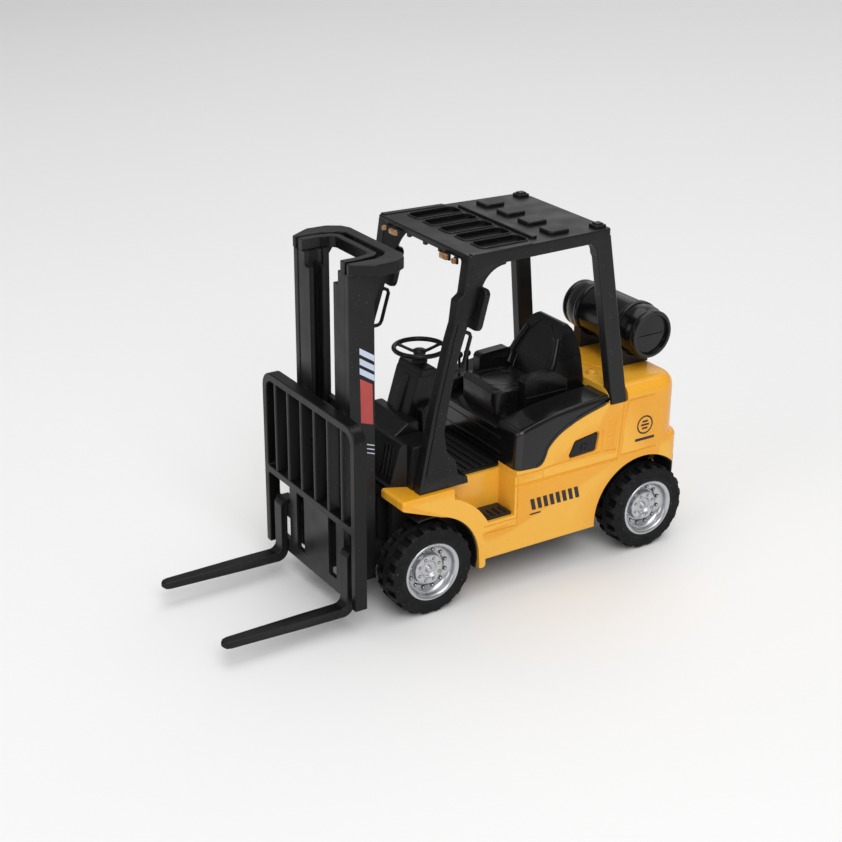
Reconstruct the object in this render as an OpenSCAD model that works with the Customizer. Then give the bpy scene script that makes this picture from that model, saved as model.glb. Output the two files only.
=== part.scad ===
// Toy forklift truck, 1:20, millimetres.
// Drawn with x = 0 at the front axle, y = 0 on the centre line and z = 0 on the ground,
// forks towards +X. placed() then moves every piece so that the origin is the middle of
// the footprint.

/* [Wheels] */
// Distance between the two axles
wheelbase = 81; // [79:0.5:83]
// Tyre outside radius
tyre_r = 14; // [13.8:0.1:14.2]
// Tyre width
tyre_w = 10; // [9.5:0.1:10]
// Half of the width over the tyres
half_track = 27.2; // [27.2:0.1:28]
// Radius of the rim's outer lip
rim_r = 9.2; // [9:0.1:9.4]
// Radius of both axles
axle_r = 1.5; // [1.2:0.1:1.7]

/* [Body] */
// Half width of the painted body
body_hw = 26; // [25.8:0.1:26.2]
// Height of the bottom edge of the side panels
sill_z = 12.5; // [11.5:0.1:13]
// Height of the rear hood
hood_z = 57.5; // [57:0.1:58]
// Wall of the painted shell
shell_t = 1.8; // [1.6:0.1:2]
// Distance from the front axle to the rear face of the counterweight
rear_x = 94.4; // [94:0.1:95]

/* [Overhead guard] */
// Height of the roof at its front edge
roof_z = 108; // [107.5:0.1:108.5]
// Half width of the roof at the front
roof_hw_front = 24.8; // [24.5:0.1:25]
// Half width of the roof at the rear
roof_hw_rear = 22.6; // [22.4:0.1:23]
// Thickness of the guard's side members
guard_t = 3.6; // [3.4:0.1:3.8]

/* [Mast and carriage] */
// Half width over the outer mast rails
mast_hw = 15.7; // [15.5:0.1:15.7]
// Front face of the mast, from the front axle
mast_front = 21; // [20.9:0.1:21]
// Height of the mast
mast_top = 109; // [108.6:0.1:109.4]
// Half width of the load backrest
rest_hw = 27.4; // [27:0.1:27.6]
// Height of the top of the load backrest
rest_top = 65.4; // [65:0.1:67]
// Fork tip, from the front axle
fork_tip = 65.8; // [60:0.1:72]
// Distance of each fork from the centre line
fork_y = 20.1; // [19.6:0.1:20.6]

/* [Hidden] */
$fn = 48;
RUN = 0.06;        // running clearance on a radius
GAP = 0.05;        // clearance between neighbouring pieces
tank_x = -86;      // gas tank, its centre line
tank_z = 68.8;
tank_r = 8.2;
tank_hl = 18.4;    // half of its length
strap_t = 0.5;     // how far its straps stand out
x_shift = (max(rear_x, tank_r + strap_t - tank_x) - fork_tip) / 2;
tyre_in = half_track - tyre_w;
chassis_hw = 16;
arch_r = 17;
fender_r = 22.7;
rear_arch = [-wheelbase + 2.3, 14];
rear_arch_r = 18.4;
step_back = -29.6; // rear wall of the step recess
step_z = 24.4;     // floor of the step recess
step_y = 17.4;     // inner wall of the step recess
step_wall = 1.2;
cab_hw = 16.3;     // half width of the sunk cab floor
hood_x = 92.8;     // rear face of the hood, ahead of the bumper
hood_r = 7.5;      // corner radius of the hood, seen from above
bumper_r = 6;
bumper_z = 37.4;   // ledge on top of the bumper
bumper_edge = 1.4;
rear_wall = 91.8;  // front face of the wall behind the rear wheels
hood_edge = 4.5;   // radius along the top edges of the hood
inset_outline = [[-49.2, 38.4], [-51.6, 43.4], [-60.4, 44.8], [-59.4, 38.9]];
inset_depth = 0.6;
screw_x = [-22, -56];
screw_y = 10;
seat_hw = 11;      // half width of the cushion
arm_y = 14;        // outer face of the arm rests
shaft_z = 60;      // bottom of the steering shaft
hub_drop = 2.6;    // hub of the steering wheel below its grip
column_top = 68.4;
lamps = [[13.6, 2, 1], [18.7, 0.85, 1]]; // middle, half width and half height
lamp_z = 106.5;    // top of the lamps
lamp_back = -12.4;
lamp_t = 0.7;      // thickness of a lamp housing
roof_front = -13;  // front edge of the roof
slot_pitch = 8.45; // roof slots
pad_y = [-16.35, -5.45, 5.45, 16.35];
plate_x = 22.6;    // rear face of the carriage
face_x = 24;       // front face of its plate
rest_x = 26.5;     // front face of the backrest
frame_t = 2.4;     // width of the backrest frame
bars = 6;
bar_pitch = 7.9;
bar_z = [7.4, 19.4]; // underside of the two rails that the forks hang on
bar_h = 4.6;
plate_hw = 16.4;   // half width of the face plate
fork_hw = 2.25;
fork_top = 7.6;    // top face of the forks
fork_low = 4.7;    // underside of the forks
floor_z = 36.8;    // underside of the cab floor mat
nose_z = 38.4;     // top of the front fenders
pivot = [8.4, 17]; // mast pivot, x and z
pivot_r = 1.3;
rail_in = 13.4;    // inner face of the outer rails
rail_back = 12.7;  // rear face of the mast
inner_in = 6.8;    // inner face of the inner rails
inner_back = 15.2;
yoke_z = mast_top - 3.5;
rail_low = 10.5;   // bottom of the mast rails
col_x = -12;       // steering column
col_r = 1.4;
wheel_z = 73.3;
lean = 0.3;        // slope of the roof
leg_out = roof_hw_front - 0.6; // outer face of the guard's front legs
BLACK = [0.12, 0.12, 0.13];
YELLOW = [0.95, 0.68, 0.2];
SILVER = [0.78, 0.79, 0.8];

// ---------- helpers ----------
module placed() translate([x_shift, 0, 0]) children();
// an outline in x and z, extruded from y0 to y1
module side(y0, y1) translate([0, y1, 0]) rotate([90, 0, 0]) linear_extrude(y1 - y0) children();
// an outline in y and z, extruded from x0 to x1
module front(x0, x1) translate([x0, 0, 0]) rotate([90, 0, 90]) linear_extrude(x1 - x0) children();
// an outline in x and y, extruded from z0 to z1
module plan(z0, z1) translate([0, 0, z0]) linear_extrude(z1 - z0) children();
module both() { children(); mirror([0, 1, 0]) children(); }
module block(a, b) translate(a) cube(b - a);
module cyl_y(r, x, z, y0, y1) translate([x, y1, z]) rotate([90, 0, 0]) cylinder(r = r, h = y1 - y0);
function arc(c, r, a0, a1, n) = [for (i = [0:n]) c + r * [cos(a0 + (a1 - a0) * i / n), sin(a0 + (a1 - a0) * i / n)]];
function mirrored(pts) = concat(pts, [for (i = [len(pts) - 1:-1:0]) [pts[i][0], -pts[i][1]]]);

// ---------- body ----------
// lower edge of the black seat deck on the side of the body
deck_curve = concat([[-30, 38.6]], arc([-37.4, 41.2], 3, -90, -165, 5),
    [[-41.6, 43.6], [-44.6, 46.5], [-48.5, 48.7], [-55, 50.9], [-64.05, 53.4]]);
// side outline of the painted body
body_outline = concat([[9.7, 35.7], [9.7, nose_z], [-14.6, nose_z], [-15, floor_z], [-30, floor_z]],
    deck_curve,
    [[-64.05, hood_z], [-rear_x, hood_z], [-rear_x, 24], [-70, 24], [-61, sill_z], [-19.4, sill_z], [-19.4, 10.4],
     [-18.8, 9.8], [-17.3, 9.8], [-17, 14]],
    arc([0, 14], arch_r, 180, 102, 10));
module body_side() polygon(body_outline);
// plan outline up to the rear face at x = -back, with its rear corners rounded
module body_plan(back, r, inset) offset(delta = -inset) offset(r = r) offset(delta = -r)
    polygon([[30, -body_hw], [30, body_hw], [-back, body_hw], [-back, -body_hw]]);
// block with that plan and a rounded top edge
module round_top(back, r, top, edge) hull() {
    plan(0, top - edge) body_plan(back, r, 0);
    for (a = [15:15:90]) plan(top - edge, top - edge * (1 - sin(a))) body_plan(back, r, edge * (1 - cos(a)));
}
module arch(c, r) translate(c) circle(r);

module step_recess() side(step_y, body_hw + 1) difference() {
    polygon([[-8, 40], [step_back, 40], [step_back, step_z], [-8, step_z]]);
    arch([0, 14], fender_r);
}

// the space inside the shell, kept off its walls by inset
module engine_bay(top, inset) intersection() {
    union() {
        block([-90, -40, 0], [-65.8, 40, top]);
        block([-66, -40, 0], [-31.5, 40, min(top, 56)]);
        block([-32, -40, 0], [12, 40, floor_z - shell_t - 0.4]);
    }
    plan(0, 80) body_plan(hood_x, hood_r, inset);
}
module shell_solid() difference() {
    intersection() {
        side(-body_hw, body_hw) body_side();
        union() {
            round_top(hood_x, hood_r, hood_z, hood_edge);
            round_top(rear_x, bumper_r, bumper_z, bumper_edge);
        }
    }
    difference() {
        union() {
            difference() {
                engine_bay(hood_z - shell_t, 3.4);
                both() block([-73.4, 20, 50.8], [-60, 30, 60]);
            }
            // under the shoulders of the hood the walls are thin
            engine_bay(50, shell_t);
        }
        both() fender();
    }
}
nose_cut = mirrored([[12, 13.8], [9.7, 13.8], [2.9, 17.1]]);
// solid part of the front fenders over the arches
module fender() side(chassis_hw + 0.3, body_hw) difference() {
    intersection() {
        arch([0, 14], fender_r);
        polygon([[-40, 0], [0, 0], [0, 40], [-40, 40]]);
    }
    arch([0, 14], arch_r - 1);
}

module body_shell() placed() color(YELLOW) difference() {
    union() {
        shell_solid();
        // walls of the two step recesses
        both() side(step_y - step_wall, body_hw - 0.5) polygon([[-7, floor_z - 1], [step_back - 1.6, floor_z - 1],
            [step_back - 1.6, step_z - 1.6], [-21, step_z - 1.6], [-17, 28]]);
        // front apron over the wheels
        both() side(8, body_hw - 0.5) polygon([[9.7, 35.7], [9.7, nose_z], [-8, nose_z], [-8, 34], [4.5, 34]]);
    }
    both() step_recess();
    both() side(chassis_hw + 0.3, body_hw + 1) {
        arch([0, 14], arch_r);
        intersection() { arch(rear_arch, rear_arch_r); translate([-rear_wall, 0]) square(50); }
    }
    // the nose is cut back around the mast
    plan(30, 40) polygon(nose_cut);
    block([5, -15.6, 30], [12, 15.6, floor_z - shell_t]);
    // opening that the dash cowl plugs into, and the sunk floor of the cab
    block([-8, -9, 30], [6, 9, 40]);
    block([-31, -cab_hw - 0.1, floor_z], [-7.2, cab_hw + 0.1, 40]);
    // seats of the rear posts
    both() block([-71.6, 21.5, 52.6 - GAP], [-64.2, 30, 60]);
    both() inset_recess();
}

module inset_shape(g) offset(r = 0.6) offset(delta = -0.6 - g) polygon(inset_outline);
module inset_recess() side(body_hw - inset_depth, body_hw + 1) inset_shape(0);
module side_inset() color(BLACK) side(body_hw - inset_depth + 0.02, body_hw + 0.05) inset_shape(GAP);
module side_inset_left() placed() side_inset();
module side_inset_right() placed() mirror([0, 1, 0]) side_inset();

module tread() color(BLACK) difference() {
    side(step_y + GAP, body_hw - 1.2) difference() {
        polygon([[-8, step_z + GAP], [-8, step_z + 1.6], [step_back + 0.4, step_z + 1.6], [step_back + 0.4, step_z + GAP]]);
        arch([0, 14], fender_r + 0.3);
    }
    for (i = [0:3]) block([-28.2 + i * 2.2, step_y - 1, step_z + 0.8], [-27.1 + i * 2.2, body_hw, step_z + 3]);
}
module step_tread_left() placed() tread();
module step_tread_right() placed() mirror([0, 1, 0]) tread();

module chassis_base() placed() color(BLACK) difference() {
    union() {
        side(-chassis_hw, chassis_hw) polygon([[8.6, 11.5], [8.6, 33.8], [-30, 33.8], [-34, 28], [-58, 28],
            [-62, 33], [-88, 33], [-89.6, 29], [-89.6, 22], [-86, 10.5], [-66, 9.2], [-20, 9.2], [-12, 10.5]]);
        // side pods inside the sill panels
        side(-body_hw + shell_t + 0.3, body_hw - shell_t - 0.3)
            polygon([[-33, 13], [-33, 20], [-57, 20], [-57, 13]]);
    }
    cyl_y(axle_r + RUN, 0, 14, -30, 30);
    cyl_y(axle_r + RUN, -wheelbase, 14, -30, 30);
    // slots beside the central pivot block for the ears of the mast
    both() block([0.5, 9.8, 5], [12, 13.4, 35]);
    both() block([7.2, 13, 5], [12, 20, 35]);
    cyl_y(pivot_r + GAP, pivot[0], pivot[1], -30, 30);
    for (x = screw_x) for (y = [-screw_y, screw_y]) translate([x, y, 5]) {
        cylinder(r = 1.9, h = 6.4);
        cylinder(r = 0.85, h = 16);
    }
}

module base_screws() placed() color(SILVER) for (x = screw_x) for (y = [-screw_y, screw_y]) difference() {
    translate([x, y, 10.4]) union() {
        cylinder(r = 1.7, h = 0.95);
        translate([0, 0, 0.9]) cylinder(r = 0.8, h = 8);
    }
    block([x - 1, y - 0.25, 10], [x + 1, y + 0.25, 10.8]);
    block([x - 0.25, y - 1, 10], [x + 0.25, y + 1, 10.8]);
}

// ---------- cab ----------
module cab_floor_mat() placed() color(BLACK) {
    block([-29.9, -cab_hw, floor_z], [-7.4, cab_hw, floor_z + 0.8]);
    for (i = [0:7]) block([-28.6 + i * 2.6, 1 - cab_hw, floor_z + 0.7], [-27.4 + i * 2.6, cab_hw - 1, floor_z + 1.3]);
}

// top of the deck, from the rear to its front edge
deck_top = [[-64, 55.8], [-55, 55.3], [-45, 54.2], [-38, 52.9], [-31.8, 51.2]];
deck_wall = 2;
deck_front = -30.1;
module below_deck(drop) side(-30, 30) polygon(concat([for (p = deck_top) p - [0, drop]], [[-31.8, 40], [-64, 40]]));
module seat_deck() placed() color(BLACK) {
    difference() {
        intersection() {
            side(-body_hw, body_hw) polygon(concat([[-64, 53.4 + GAP]], deck_top,
                arc([-31.8, 49.5], 1.7, 70, 0, 4), [[deck_front, 38.6 + GAP]],
                [for (p = deck_curve) if (p[0] < deck_front && p[0] > -64) p + [0, GAP]]));
            plan(30, 60) offset(r = 2.6) offset(delta = -2.6)
                polygon([[-70, -body_hw], [-70, body_hw], [deck_front, body_hw], [deck_front, -body_hw]]);
        }
        side(-body_hw + deck_wall, body_hw - deck_wall)
            polygon([[-66, 30], [-66, 53.6], [-45, 52], [-38, 50.6], [-31.9, 48.8], [-31.9, 30]]);
    }
    // its foot behind the floor mat
    block([deck_front - 0.8, 0.1 - cab_hw, floor_z + GAP], [deck_front, cab_hw - 0.1, 39.5]);
}

module seat() placed() color(BLACK) difference() {
    union() {
        cushion();
        // tapering back
        intersection() {
            side(-arm_y, arm_y) polygon(concat([[-50.5, 50], [-53.6, 60], [-58.6, 72]],
                arc([-60.4, 71.8], 1.9, 10, 170, 5), [[-63.4, 66], [-63.2, 50]]));
            front(-70, -45) polygon([[-13, 40], [13, 40], [13, 60], [8.9, 71.4], [7, 73.8], [-7, 73.8], [-8.9, 71.4], [-13, 60]]);
        }
        // arm rests
        both() side(seat_hw - 1.2, arm_y) polygon(concat([[-41.2, 50], [-41.2, 60.8]],
            arc([-42.4, 60.8], 1.2, 0, 90, 3), arc([-52.4, 57.6], 4.4, 90, 170, 5), [[-57, 50]]));
    }
    below_deck(0);
}
module cushion() difference() {
    side(-seat_hw, seat_hw) polygon(concat([[-33.4, 49], [-33, 56]], arc([-34.4, 56], 1.4, 0, 90, 3), [[-52, 56.2], [-52, 49]]));
    for (s = [-1, 1]) translate([-33, s * seat_hw, 40]) rotate([0, 0, s * 20 + 45]) cube([3.4, 3.4, 50], center = true);
}

module dash_cowl() placed() color(BLACK) difference() {
    union() {
        // lower cowl between the front legs of the guard, and its foot in the cut of the nose
        intersection() {
            side(-20.3, 20.3) polygon([[7.4, nose_z], [4.6, 52], [-5.6, 52], [-6.6, nose_z]]);
            plan(30, 60) polygon(mirrored([[8, 14.6], [2.9, 17], [2.9, 20.3], [-7, 20.3]]));
        }
        plan(34, nose_z + 0.5) offset(delta = -GAP) intersection() {
            polygon(nose_cut);
            translate([0, -20]) square([8.4, 40]);
        }
        side(-8.9, 8.9) polygon([[5.9, 34], [5.5, 40], [-6.6, 40], [-7.1, 34]]);
        // upper column that carries the steering wheel
        side(-6, 6) polygon([[-3.4, 50], [-8.6, column_top - 1], [-9.6, column_top], [-14.2, column_top], [-12.6, 58], [-7, 50]]);
    }
    both() for (i = [0:3]) block([3, 8.5 + i * 3, 34], [9, 9.3 + i * 3, 49]);
    translate([col_x, 0, shaft_z]) cylinder(r = col_r + RUN, h = 20);
}
module steering_shaft() placed() color(BLACK) translate([col_x, 0, 0]) union() {
    translate([0, 0, shaft_z + GAP]) cylinder(r = col_r, h = wheel_z - hub_drop - shaft_z - GAP);
    translate([0, 0, column_top + GAP]) cylinder(r = 2.1, h = 0.8);
}
module steering_wheel() placed() color(BLACK) translate([col_x, 0, wheel_z]) union() {
    rotate_extrude() translate([7.65, 0]) circle(0.65, $fn = 16);
    for (a = [60, 180, 300]) rotate([0, 0, a]) translate([7.5, 0, 0]) rotate([0, -9, 0])
        translate([-7.3, -0.65, -0.4]) cube([7.3, 1.3, 0.8]);
    translate([0, 0, -hub_drop]) cylinder(r1 = 1.5, r2 = 2.3, h = 2);
}
// looped lever on the back of the dash
module direction_lever() placed() color(BLACK) translate([-6.9, 9.4, 0]) union() {
    front(-0.6, 0.6) difference() {
        union() {
            translate([0, 57.4]) circle(1.5);
            translate([-1.5, 49.4]) square([3, 8]);
        }
        translate([0, 57.4]) circle(0.6);
        translate([-0.6, 51.4]) square([1.2, 6]);
    }
    block([0.5, -1.2, 49.4], [1.1, 1.2, 50.6]);
}
module control_levers() placed() color(BLACK) translate([-37, -16, 0]) union() {
    difference() {
        side(-1.4, 1.4) polygon([[-4.4, 48], [4.6, 48], [4.6, 54], [-4.4, 54.9]]);
        translate([37, 16, 0]) below_deck(0);
    }
    for (i = [-1:1]) translate([i * 3, 0, 53.6])
        rotate_extrude() polygon(concat([[0, 0], [0.5, 0]], arc([0, 7.3], 1.1, -60, 85, 8), [[0, 8.4]]));
}

// ---------- overhead guard ----------
// side member: front leg, roof rail and the fillets in its corners
guard_front = [[3, nose_z], [2.5, 41.4], [-1.9, 64.5], [-4.5, 74.7], [-6.8, 84.3], [-8.3, 88.8], [-9.1, 95.4],
    [-11.1, 96.8], [-12.6, 107.2]];
guard_inner = concat(arc([-25.6, 95], 8.6, 90, 20, 6), [[-12.9, 87.7], [-9, 75.6], [-7, 65.5], [-5.4, 56.3], [-6.4, 50],
    [-9.4, 47], [-10.2, 42.4], [-13.6, 40.6], [-14, nose_z]]);
module guard_side() polygon(concat(guard_front, [[-13, roof_z - 0.2], [-25.6, roof_z - 0.6]], guard_inner));
module rear_post() hull() {
    block([-71, 21.9, 52.6], [-65.2, body_hw, 52.7]);
    block([-64.2, roof_hw_rear - 3.8, 105.5], [-58.6, roof_hw_rear, 105.6]);
}
// fillet between a rear post and the roof
module rear_fillet() side(roof_hw_rear - 3.4, roof_hw_rear - 0.3)
    polygon(concat([[-60, 105], [-55, 105]], arc([-55, 100.2], 4.1, 90, 180, 6), [[-60, 98.4]]));
module overhead_guard() placed() color(BLACK) difference() {
    union() {
        both() side(leg_out - guard_t, leg_out) guard_side();
        both() rear_post();
        both() rear_fillet();
        on_roof() {
            plan(-3.8, 0) offset(r = 1) offset(delta = -1) polygon([[0.4, -roof_hw_front], [0.4, roof_hw_front],
                [-51.2, roof_hw_rear], [-51.2, -roof_hw_rear]]);
            // cross rib, pads and rear corner pads
            block([-26.8, -19.5, -1], [-24.4, 19.5, 0.7]);
            for (y = pad_y) plan(-1, 0.8) translate([-34.7, y]) offset(r = 1.4) square([4.6, 3.8], center = true);
            both() block([-50.4, 17.4, -1], [-46.4, 21.4, 0.9]);
        }
    }
    on_roof() {
        // underside of the roof is open between its rims
        plan(-8, -1.6) polygon([[2, -20.2], [2, 20.2], [-49, 18.4], [-49, -18.4]]);
        // five blind slots in the front half
        for (i = [-2:2]) plan(-0.8, 3) translate([-15, i * slot_pitch]) offset(r = 2.2) square([11.5, 1.9], center = true);
    }
}
// the roof's own frame: origin at the middle of its front edge, top face at z = 0
module on_roof() translate([roof_front, 0, roof_z]) rotate([0, -lean, 0]) children();
module roof_lamp_housings() placed() color(BLACK) both() for (k = lamps)
    block([lamp_back, k[0] - k[1], lamp_z - 2 * k[2]], [lamp_back + lamp_t, k[0] + k[1], lamp_z]);
module roof_lamp_lenses() placed() color([0.7, 0.45, 0.2]) both() for (k = lamps)
    block([lamp_back + lamp_t + 0.01, k[0] - k[1] + 0.2, lamp_z - 2 * k[2] + 0.2],
        [lamp_back + lamp_t + 1.1, k[0] + k[1] - 0.2, lamp_z - 0.2]);

module mirror_piece() color(BLACK) translate([-16.4, 22.9, 92]) rotate([0, -15, 0]) union() {
    front(-0.9, 0.9) offset(r = 1.8) square([8 - 3.6, 12.4 - 3.6], center = true);
    block([0.8, -1.2, -1], [4.2, 0.8, 1]);
}
module mirror_left() placed() difference() { mirror_piece(); guard_clear(); }
module mirror_right() placed() mirror([0, 1, 0]) difference() { mirror_piece(); guard_clear(); }
module guard_clear() side(15, 30) offset(delta = GAP) guard_side();

module handle_piece() color(BLACK) difference() {
    side(21.8, 23) difference() {
        offset(r = 1.6) offset(delta = -1.6) polygon([[-8, 85.6], [-15.8, 85.6], [-12.2, 73], [-6, 73]]);
        offset(r = 0.8) offset(delta = -0.8) polygon([[-6, 84.4], [-14.4, 84.4], [-11.4, 74.2], [-5, 74.2]]);
    }
    guard_clear();
}
module grab_handle_left() placed() handle_piece();
module grab_handle_right() placed() mirror([0, 1, 0]) handle_piece();

// ---------- gas tank ----------
module about_tank() translate([tank_x, 0, tank_z]) rotate([-90, 0, 0]) rotate_extrude($fn = 96) children();
module gas_tank() placed() color(BLACK) about_tank() polygon([[0, -tank_hl + 1.2], [6.2, -tank_hl + 1.2],
    [6.4, -tank_hl], [7.4, -tank_hl], [7.7, -tank_hl + 0.5], [7.7, -tank_hl + 2.6], [tank_r, -tank_hl + 4.4],
    [tank_r, tank_hl - 4.4], [7.7, tank_hl - 2.6], [7.7, tank_hl - 0.5], [7.4, tank_hl], [6.4, tank_hl],
    [6.2, tank_hl - 1.2], [0, tank_hl - 1.2]]);
module gas_tank_straps() placed() color(BLACK) both() about_tank()
    polygon([[tank_r + 0.02, 9.2], [tank_r + strap_t, 9.4], [tank_r + strap_t, 11], [tank_r + 0.02, 11.2]]);
module gas_tank_cradle() placed() color(BLACK) both() difference() {
    block([tank_x - 4, 8.4, hood_z], [tank_x + 7.2, 12, tank_z - 4.4]);
    cyl_y(tank_r + strap_t + 0.02, tank_x, tank_z, 5, 15);
}

// ---------- wheels ----------
// profile of a rim, r by distance from its inner side
module rim(x) color(SILVER) translate([x, tyre_in, 14]) rotate([-90, 0, 0]) rotate_extrude() polygon([
    [axle_r + 0.01, 0.5], [3.4, 0.5], [3.4, 3.4], [7.6, 3.4], [7.6, 0.4], [rim_r, 0.4], [rim_r, tyre_w - 0.1],
    [rim_r - 0.4, tyre_w + 0], [rim_r - 1, tyre_w - 0.1], [7.4, 7.4], [6.8, 7], [5.2, 6.7], [5, 7.9], [2.5, 7.9], [2.3, 7],
    [1.1, 7], [0.7, 8.1], [0, 8.1], [0, 5], [axle_r + 0.01, 5]]);
module tyre(x) color(BLACK) translate([x, tyre_in, 14]) rotate([-90, 0, 0]) rotate_extrude($fn = 96) polygon([
    [rim_r + 0.02, 0.2], [11, 0], [13.2, 0], [tyre_r, 0.9], [tyre_r, tyre_w - 0.9], [13.2, tyre_w], [11, tyre_w],
    [rim_r + 0.02, tyre_w - 0.2]]);
module axle(x) color(SILVER) cyl_y(axle_r, x, 14, -tyre_in - 4.9, tyre_in + 4.9);
module front_axle() placed() axle(0);
module rear_axle() placed() axle(-wheelbase);
module front_rim_left() placed() rim(0);
module front_rim_right() placed() mirror([0, 1, 0]) rim(0);
module front_tyre_left() placed() tyre(0);
module front_tyre_right() placed() mirror([0, 1, 0]) tyre(0);
module rear_rim_left() placed() rim(-wheelbase);
module rear_rim_right() placed() mirror([0, 1, 0]) rim(-wheelbase);
module rear_tyre_left() placed() tyre(-wheelbase);
module rear_tyre_right() placed() mirror([0, 1, 0]) tyre(-wheelbase);

// ---------- mast ----------
module mast_pivot_pin() placed() color(SILVER) cyl_y(pivot_r, pivot[0], pivot[1], -13.3, 13.3);

outer_yoke = mirrored([[mast_front, 16], [14.5, 20], [8, 19.8], [4.2, 17.4], [2.8, 14.4]]);
outer_yoke_in = mirrored([[mast_front + 1, 14.6], [12, 14.6], [8.4, 13], [6.6, 11]]);
inner_yoke = mirrored([[20.8, 13.2], [15.6, 13.2], [11, 12.4], [8.7, 10.3]]);
inner_yoke_in = mirrored([[22, 10.8], [15, 10.8], [12.2, 10], [11, 8.6]]);

module mast_outer() placed() color(BLACK) {
    both() plan(rail_low, yoke_z) polygon([[rail_back, mast_hw], [mast_front, mast_hw], [mast_front, rail_in], [19.2, rail_in],
        [19.2, 14.4], [15.8, 14.4], [15.8, rail_in], [14.9, rail_in], [14.9, 9.4], [rail_back, 9.4]]);
    plan(yoke_z, mast_top) difference() { polygon(outer_yoke); polygon(outer_yoke_in); }
    // rear gussets under the yoke
    both() side(13.6, mast_hw) polygon([[rail_back + 0.2, yoke_z + 0.2], [8, yoke_z + 0.2], [10.4, 102.4], [rail_back + 0.2, 95.5]]);
    // cross members behind the rails
    block([rail_back, -10, 12], [14.9, 10, 19]);
    block([rail_back, -10, 52], [14.9, 10, 61]);
    // ears that turn on the pivot pin
    both() difference() {
        side(10.2, 13) {
            polygon([[rail_back + 0.2, 12.5], [rail_back + 0.2, 22], [pivot[0], 20], [pivot[0], 14]]);
            translate(pivot) circle(3);
        }
        cyl_y(pivot_r + RUN, pivot[0], pivot[1], 5, 20);
    }
}
module mast_inner() placed() color(BLACK) {
    both() difference() {
        plan(rail_low, yoke_z + 0.2) polygon([[inner_back, 13.2], [16, 13.2], [16, 14.3], [19, 14.3], [19, 13.2], [20.8, 13.2],
            [20.8, inner_in], [19.4, inner_in], [19.4, 9.8], [16.6, 9.8], [16.6, inner_in], [inner_back, inner_in]]);
        block([10, 5, 101.6], [25, 9.4, 130]);
    }
    plan(yoke_z + 0.1, mast_top) difference() { polygon(inner_yoke); polygon(inner_yoke_in); }
    block([inner_back, -7.4, 12], [16.4, 7.4, 17]);
}

// ---------- carriage and forks ----------
module carriage() placed() color(BLACK) {
    // load backrest: frame, lower rail and upright bars
    front(plate_x, rest_x) difference() {
        intersection() {
            offset(r = 5) offset(delta = -5) translate([-rest_hw, -20]) square([2 * rest_hw, rest_top + 20]);
            translate([-rest_hw, 8.4]) square([2 * rest_hw, 80]);
        }
        intersection() {
            offset(r = 3) offset(delta = -3) translate([frame_t - rest_hw, -20])
                square([2 * (rest_hw - frame_t), rest_top + 20 - frame_t]);
            translate([-40, 34.8]) square([80, 80]);
        }
        translate([frame_t - rest_hw, 0]) square([2 * (rest_hw - frame_t), 32.4]);
    }
    for (i = [1:bars]) translate([0, (i - (bars + 1) / 2) * bar_pitch, 0])
        block([plate_x, -0.6, 34], [rest_x - 0.1, 0.6, rest_top - 2]);
    // face plate with its two slots
    front(plate_x, face_x) difference() {
        translate([-plate_hw, bar_z[0]]) square([2 * plate_hw, 25.4]);
        for (s = [-1, 1]) translate([s * 9.7 - 2.3, 11.4]) square([4.6, 19.4]);
    }
    for (z = bar_z) block([plate_x, -25.2, z], [face_x, 25.2, z + bar_h]);
    // guide shoes that run in the inner rails
    both() {
        block([17, 4.6, 12.6], [plate_x + 0.2, 6.6, 31]);
        block([16.9, 6.4, 12.6], [19.1, 9.6, 18]);
        block([16.9, 6.4, 25.6], [19.1, 9.6, 31]);
    }
}

hook_z = bar_z[1] + bar_h + 0.1;
module fork_piece() color(BLACK) translate([0, fork_y, 0]) {
    intersection() {
        side(-fork_hw, fork_hw) polygon(concat([[face_x + 0.1, hook_z + 1.2], [21.3, hook_z + 1.2], [21.3, hook_z - 1.7],
                [22.5, hook_z - 1.7], [22.5, hook_z], [face_x + 0.1, hook_z]],
            arc([face_x + 3.6, fork_low + 3.5], 3.5, 180, 270, 5),
            [[fork_tip - 1, 5.4], [fork_tip, 6], [fork_tip, 7.1], [fork_tip - 1, fork_top]],
            arc([28.6, fork_top + 2.3], 2.3, 270, 180, 4), [[26.3, hook_z - 0.4], [25.6, hook_z + 0.9]]));
        plan(0, 40) polygon([[20, -fork_hw], [40, -fork_hw], [fork_tip - 2, -1.75], [fork_tip - 0.6, -1.3], [fork_tip, -0.6],
            [fork_tip, 0.6], [fork_tip - 0.6, 1.3], [fork_tip - 2, 1.75], [40, fork_hw], [20, fork_hw]]);
    }
}
module fork_left() placed() fork_piece();
module fork_right() placed() mirror([0, 1, 0]) fork_piece();

body_shell();
chassis_base();
cab_floor_mat();
seat_deck();
seat();
dash_cowl();
steering_shaft();
steering_wheel();
direction_lever();
control_levers();
overhead_guard();
roof_lamp_housings();
roof_lamp_lenses();
mirror_left();
mirror_right();
grab_handle_left();
grab_handle_right();
gas_tank();
gas_tank_straps();
gas_tank_cradle();
step_tread_left();
step_tread_right();
side_inset_left();
side_inset_right();
base_screws();
front_axle();
front_rim_left();
front_rim_right();
front_tyre_left();
front_tyre_right();
rear_axle();
rear_rim_left();
rear_rim_right();
rear_tyre_left();
rear_tyre_right();
mast_pivot_pin();
mast_outer();
mast_inner();
carriage();
fork_left();
fork_right();
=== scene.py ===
"""Looks of the toy forklift truck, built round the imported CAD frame.

Shapes are written in millimetres from the front axle: X is forward, Y is the truck's left and Z is up.
put() moves them into the row frame. In names, HW is a half width, R a radius and T a thickness.
"""

import math

import bmesh
import bpy
import numpy as np
from mathutils import Matrix, Vector


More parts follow.
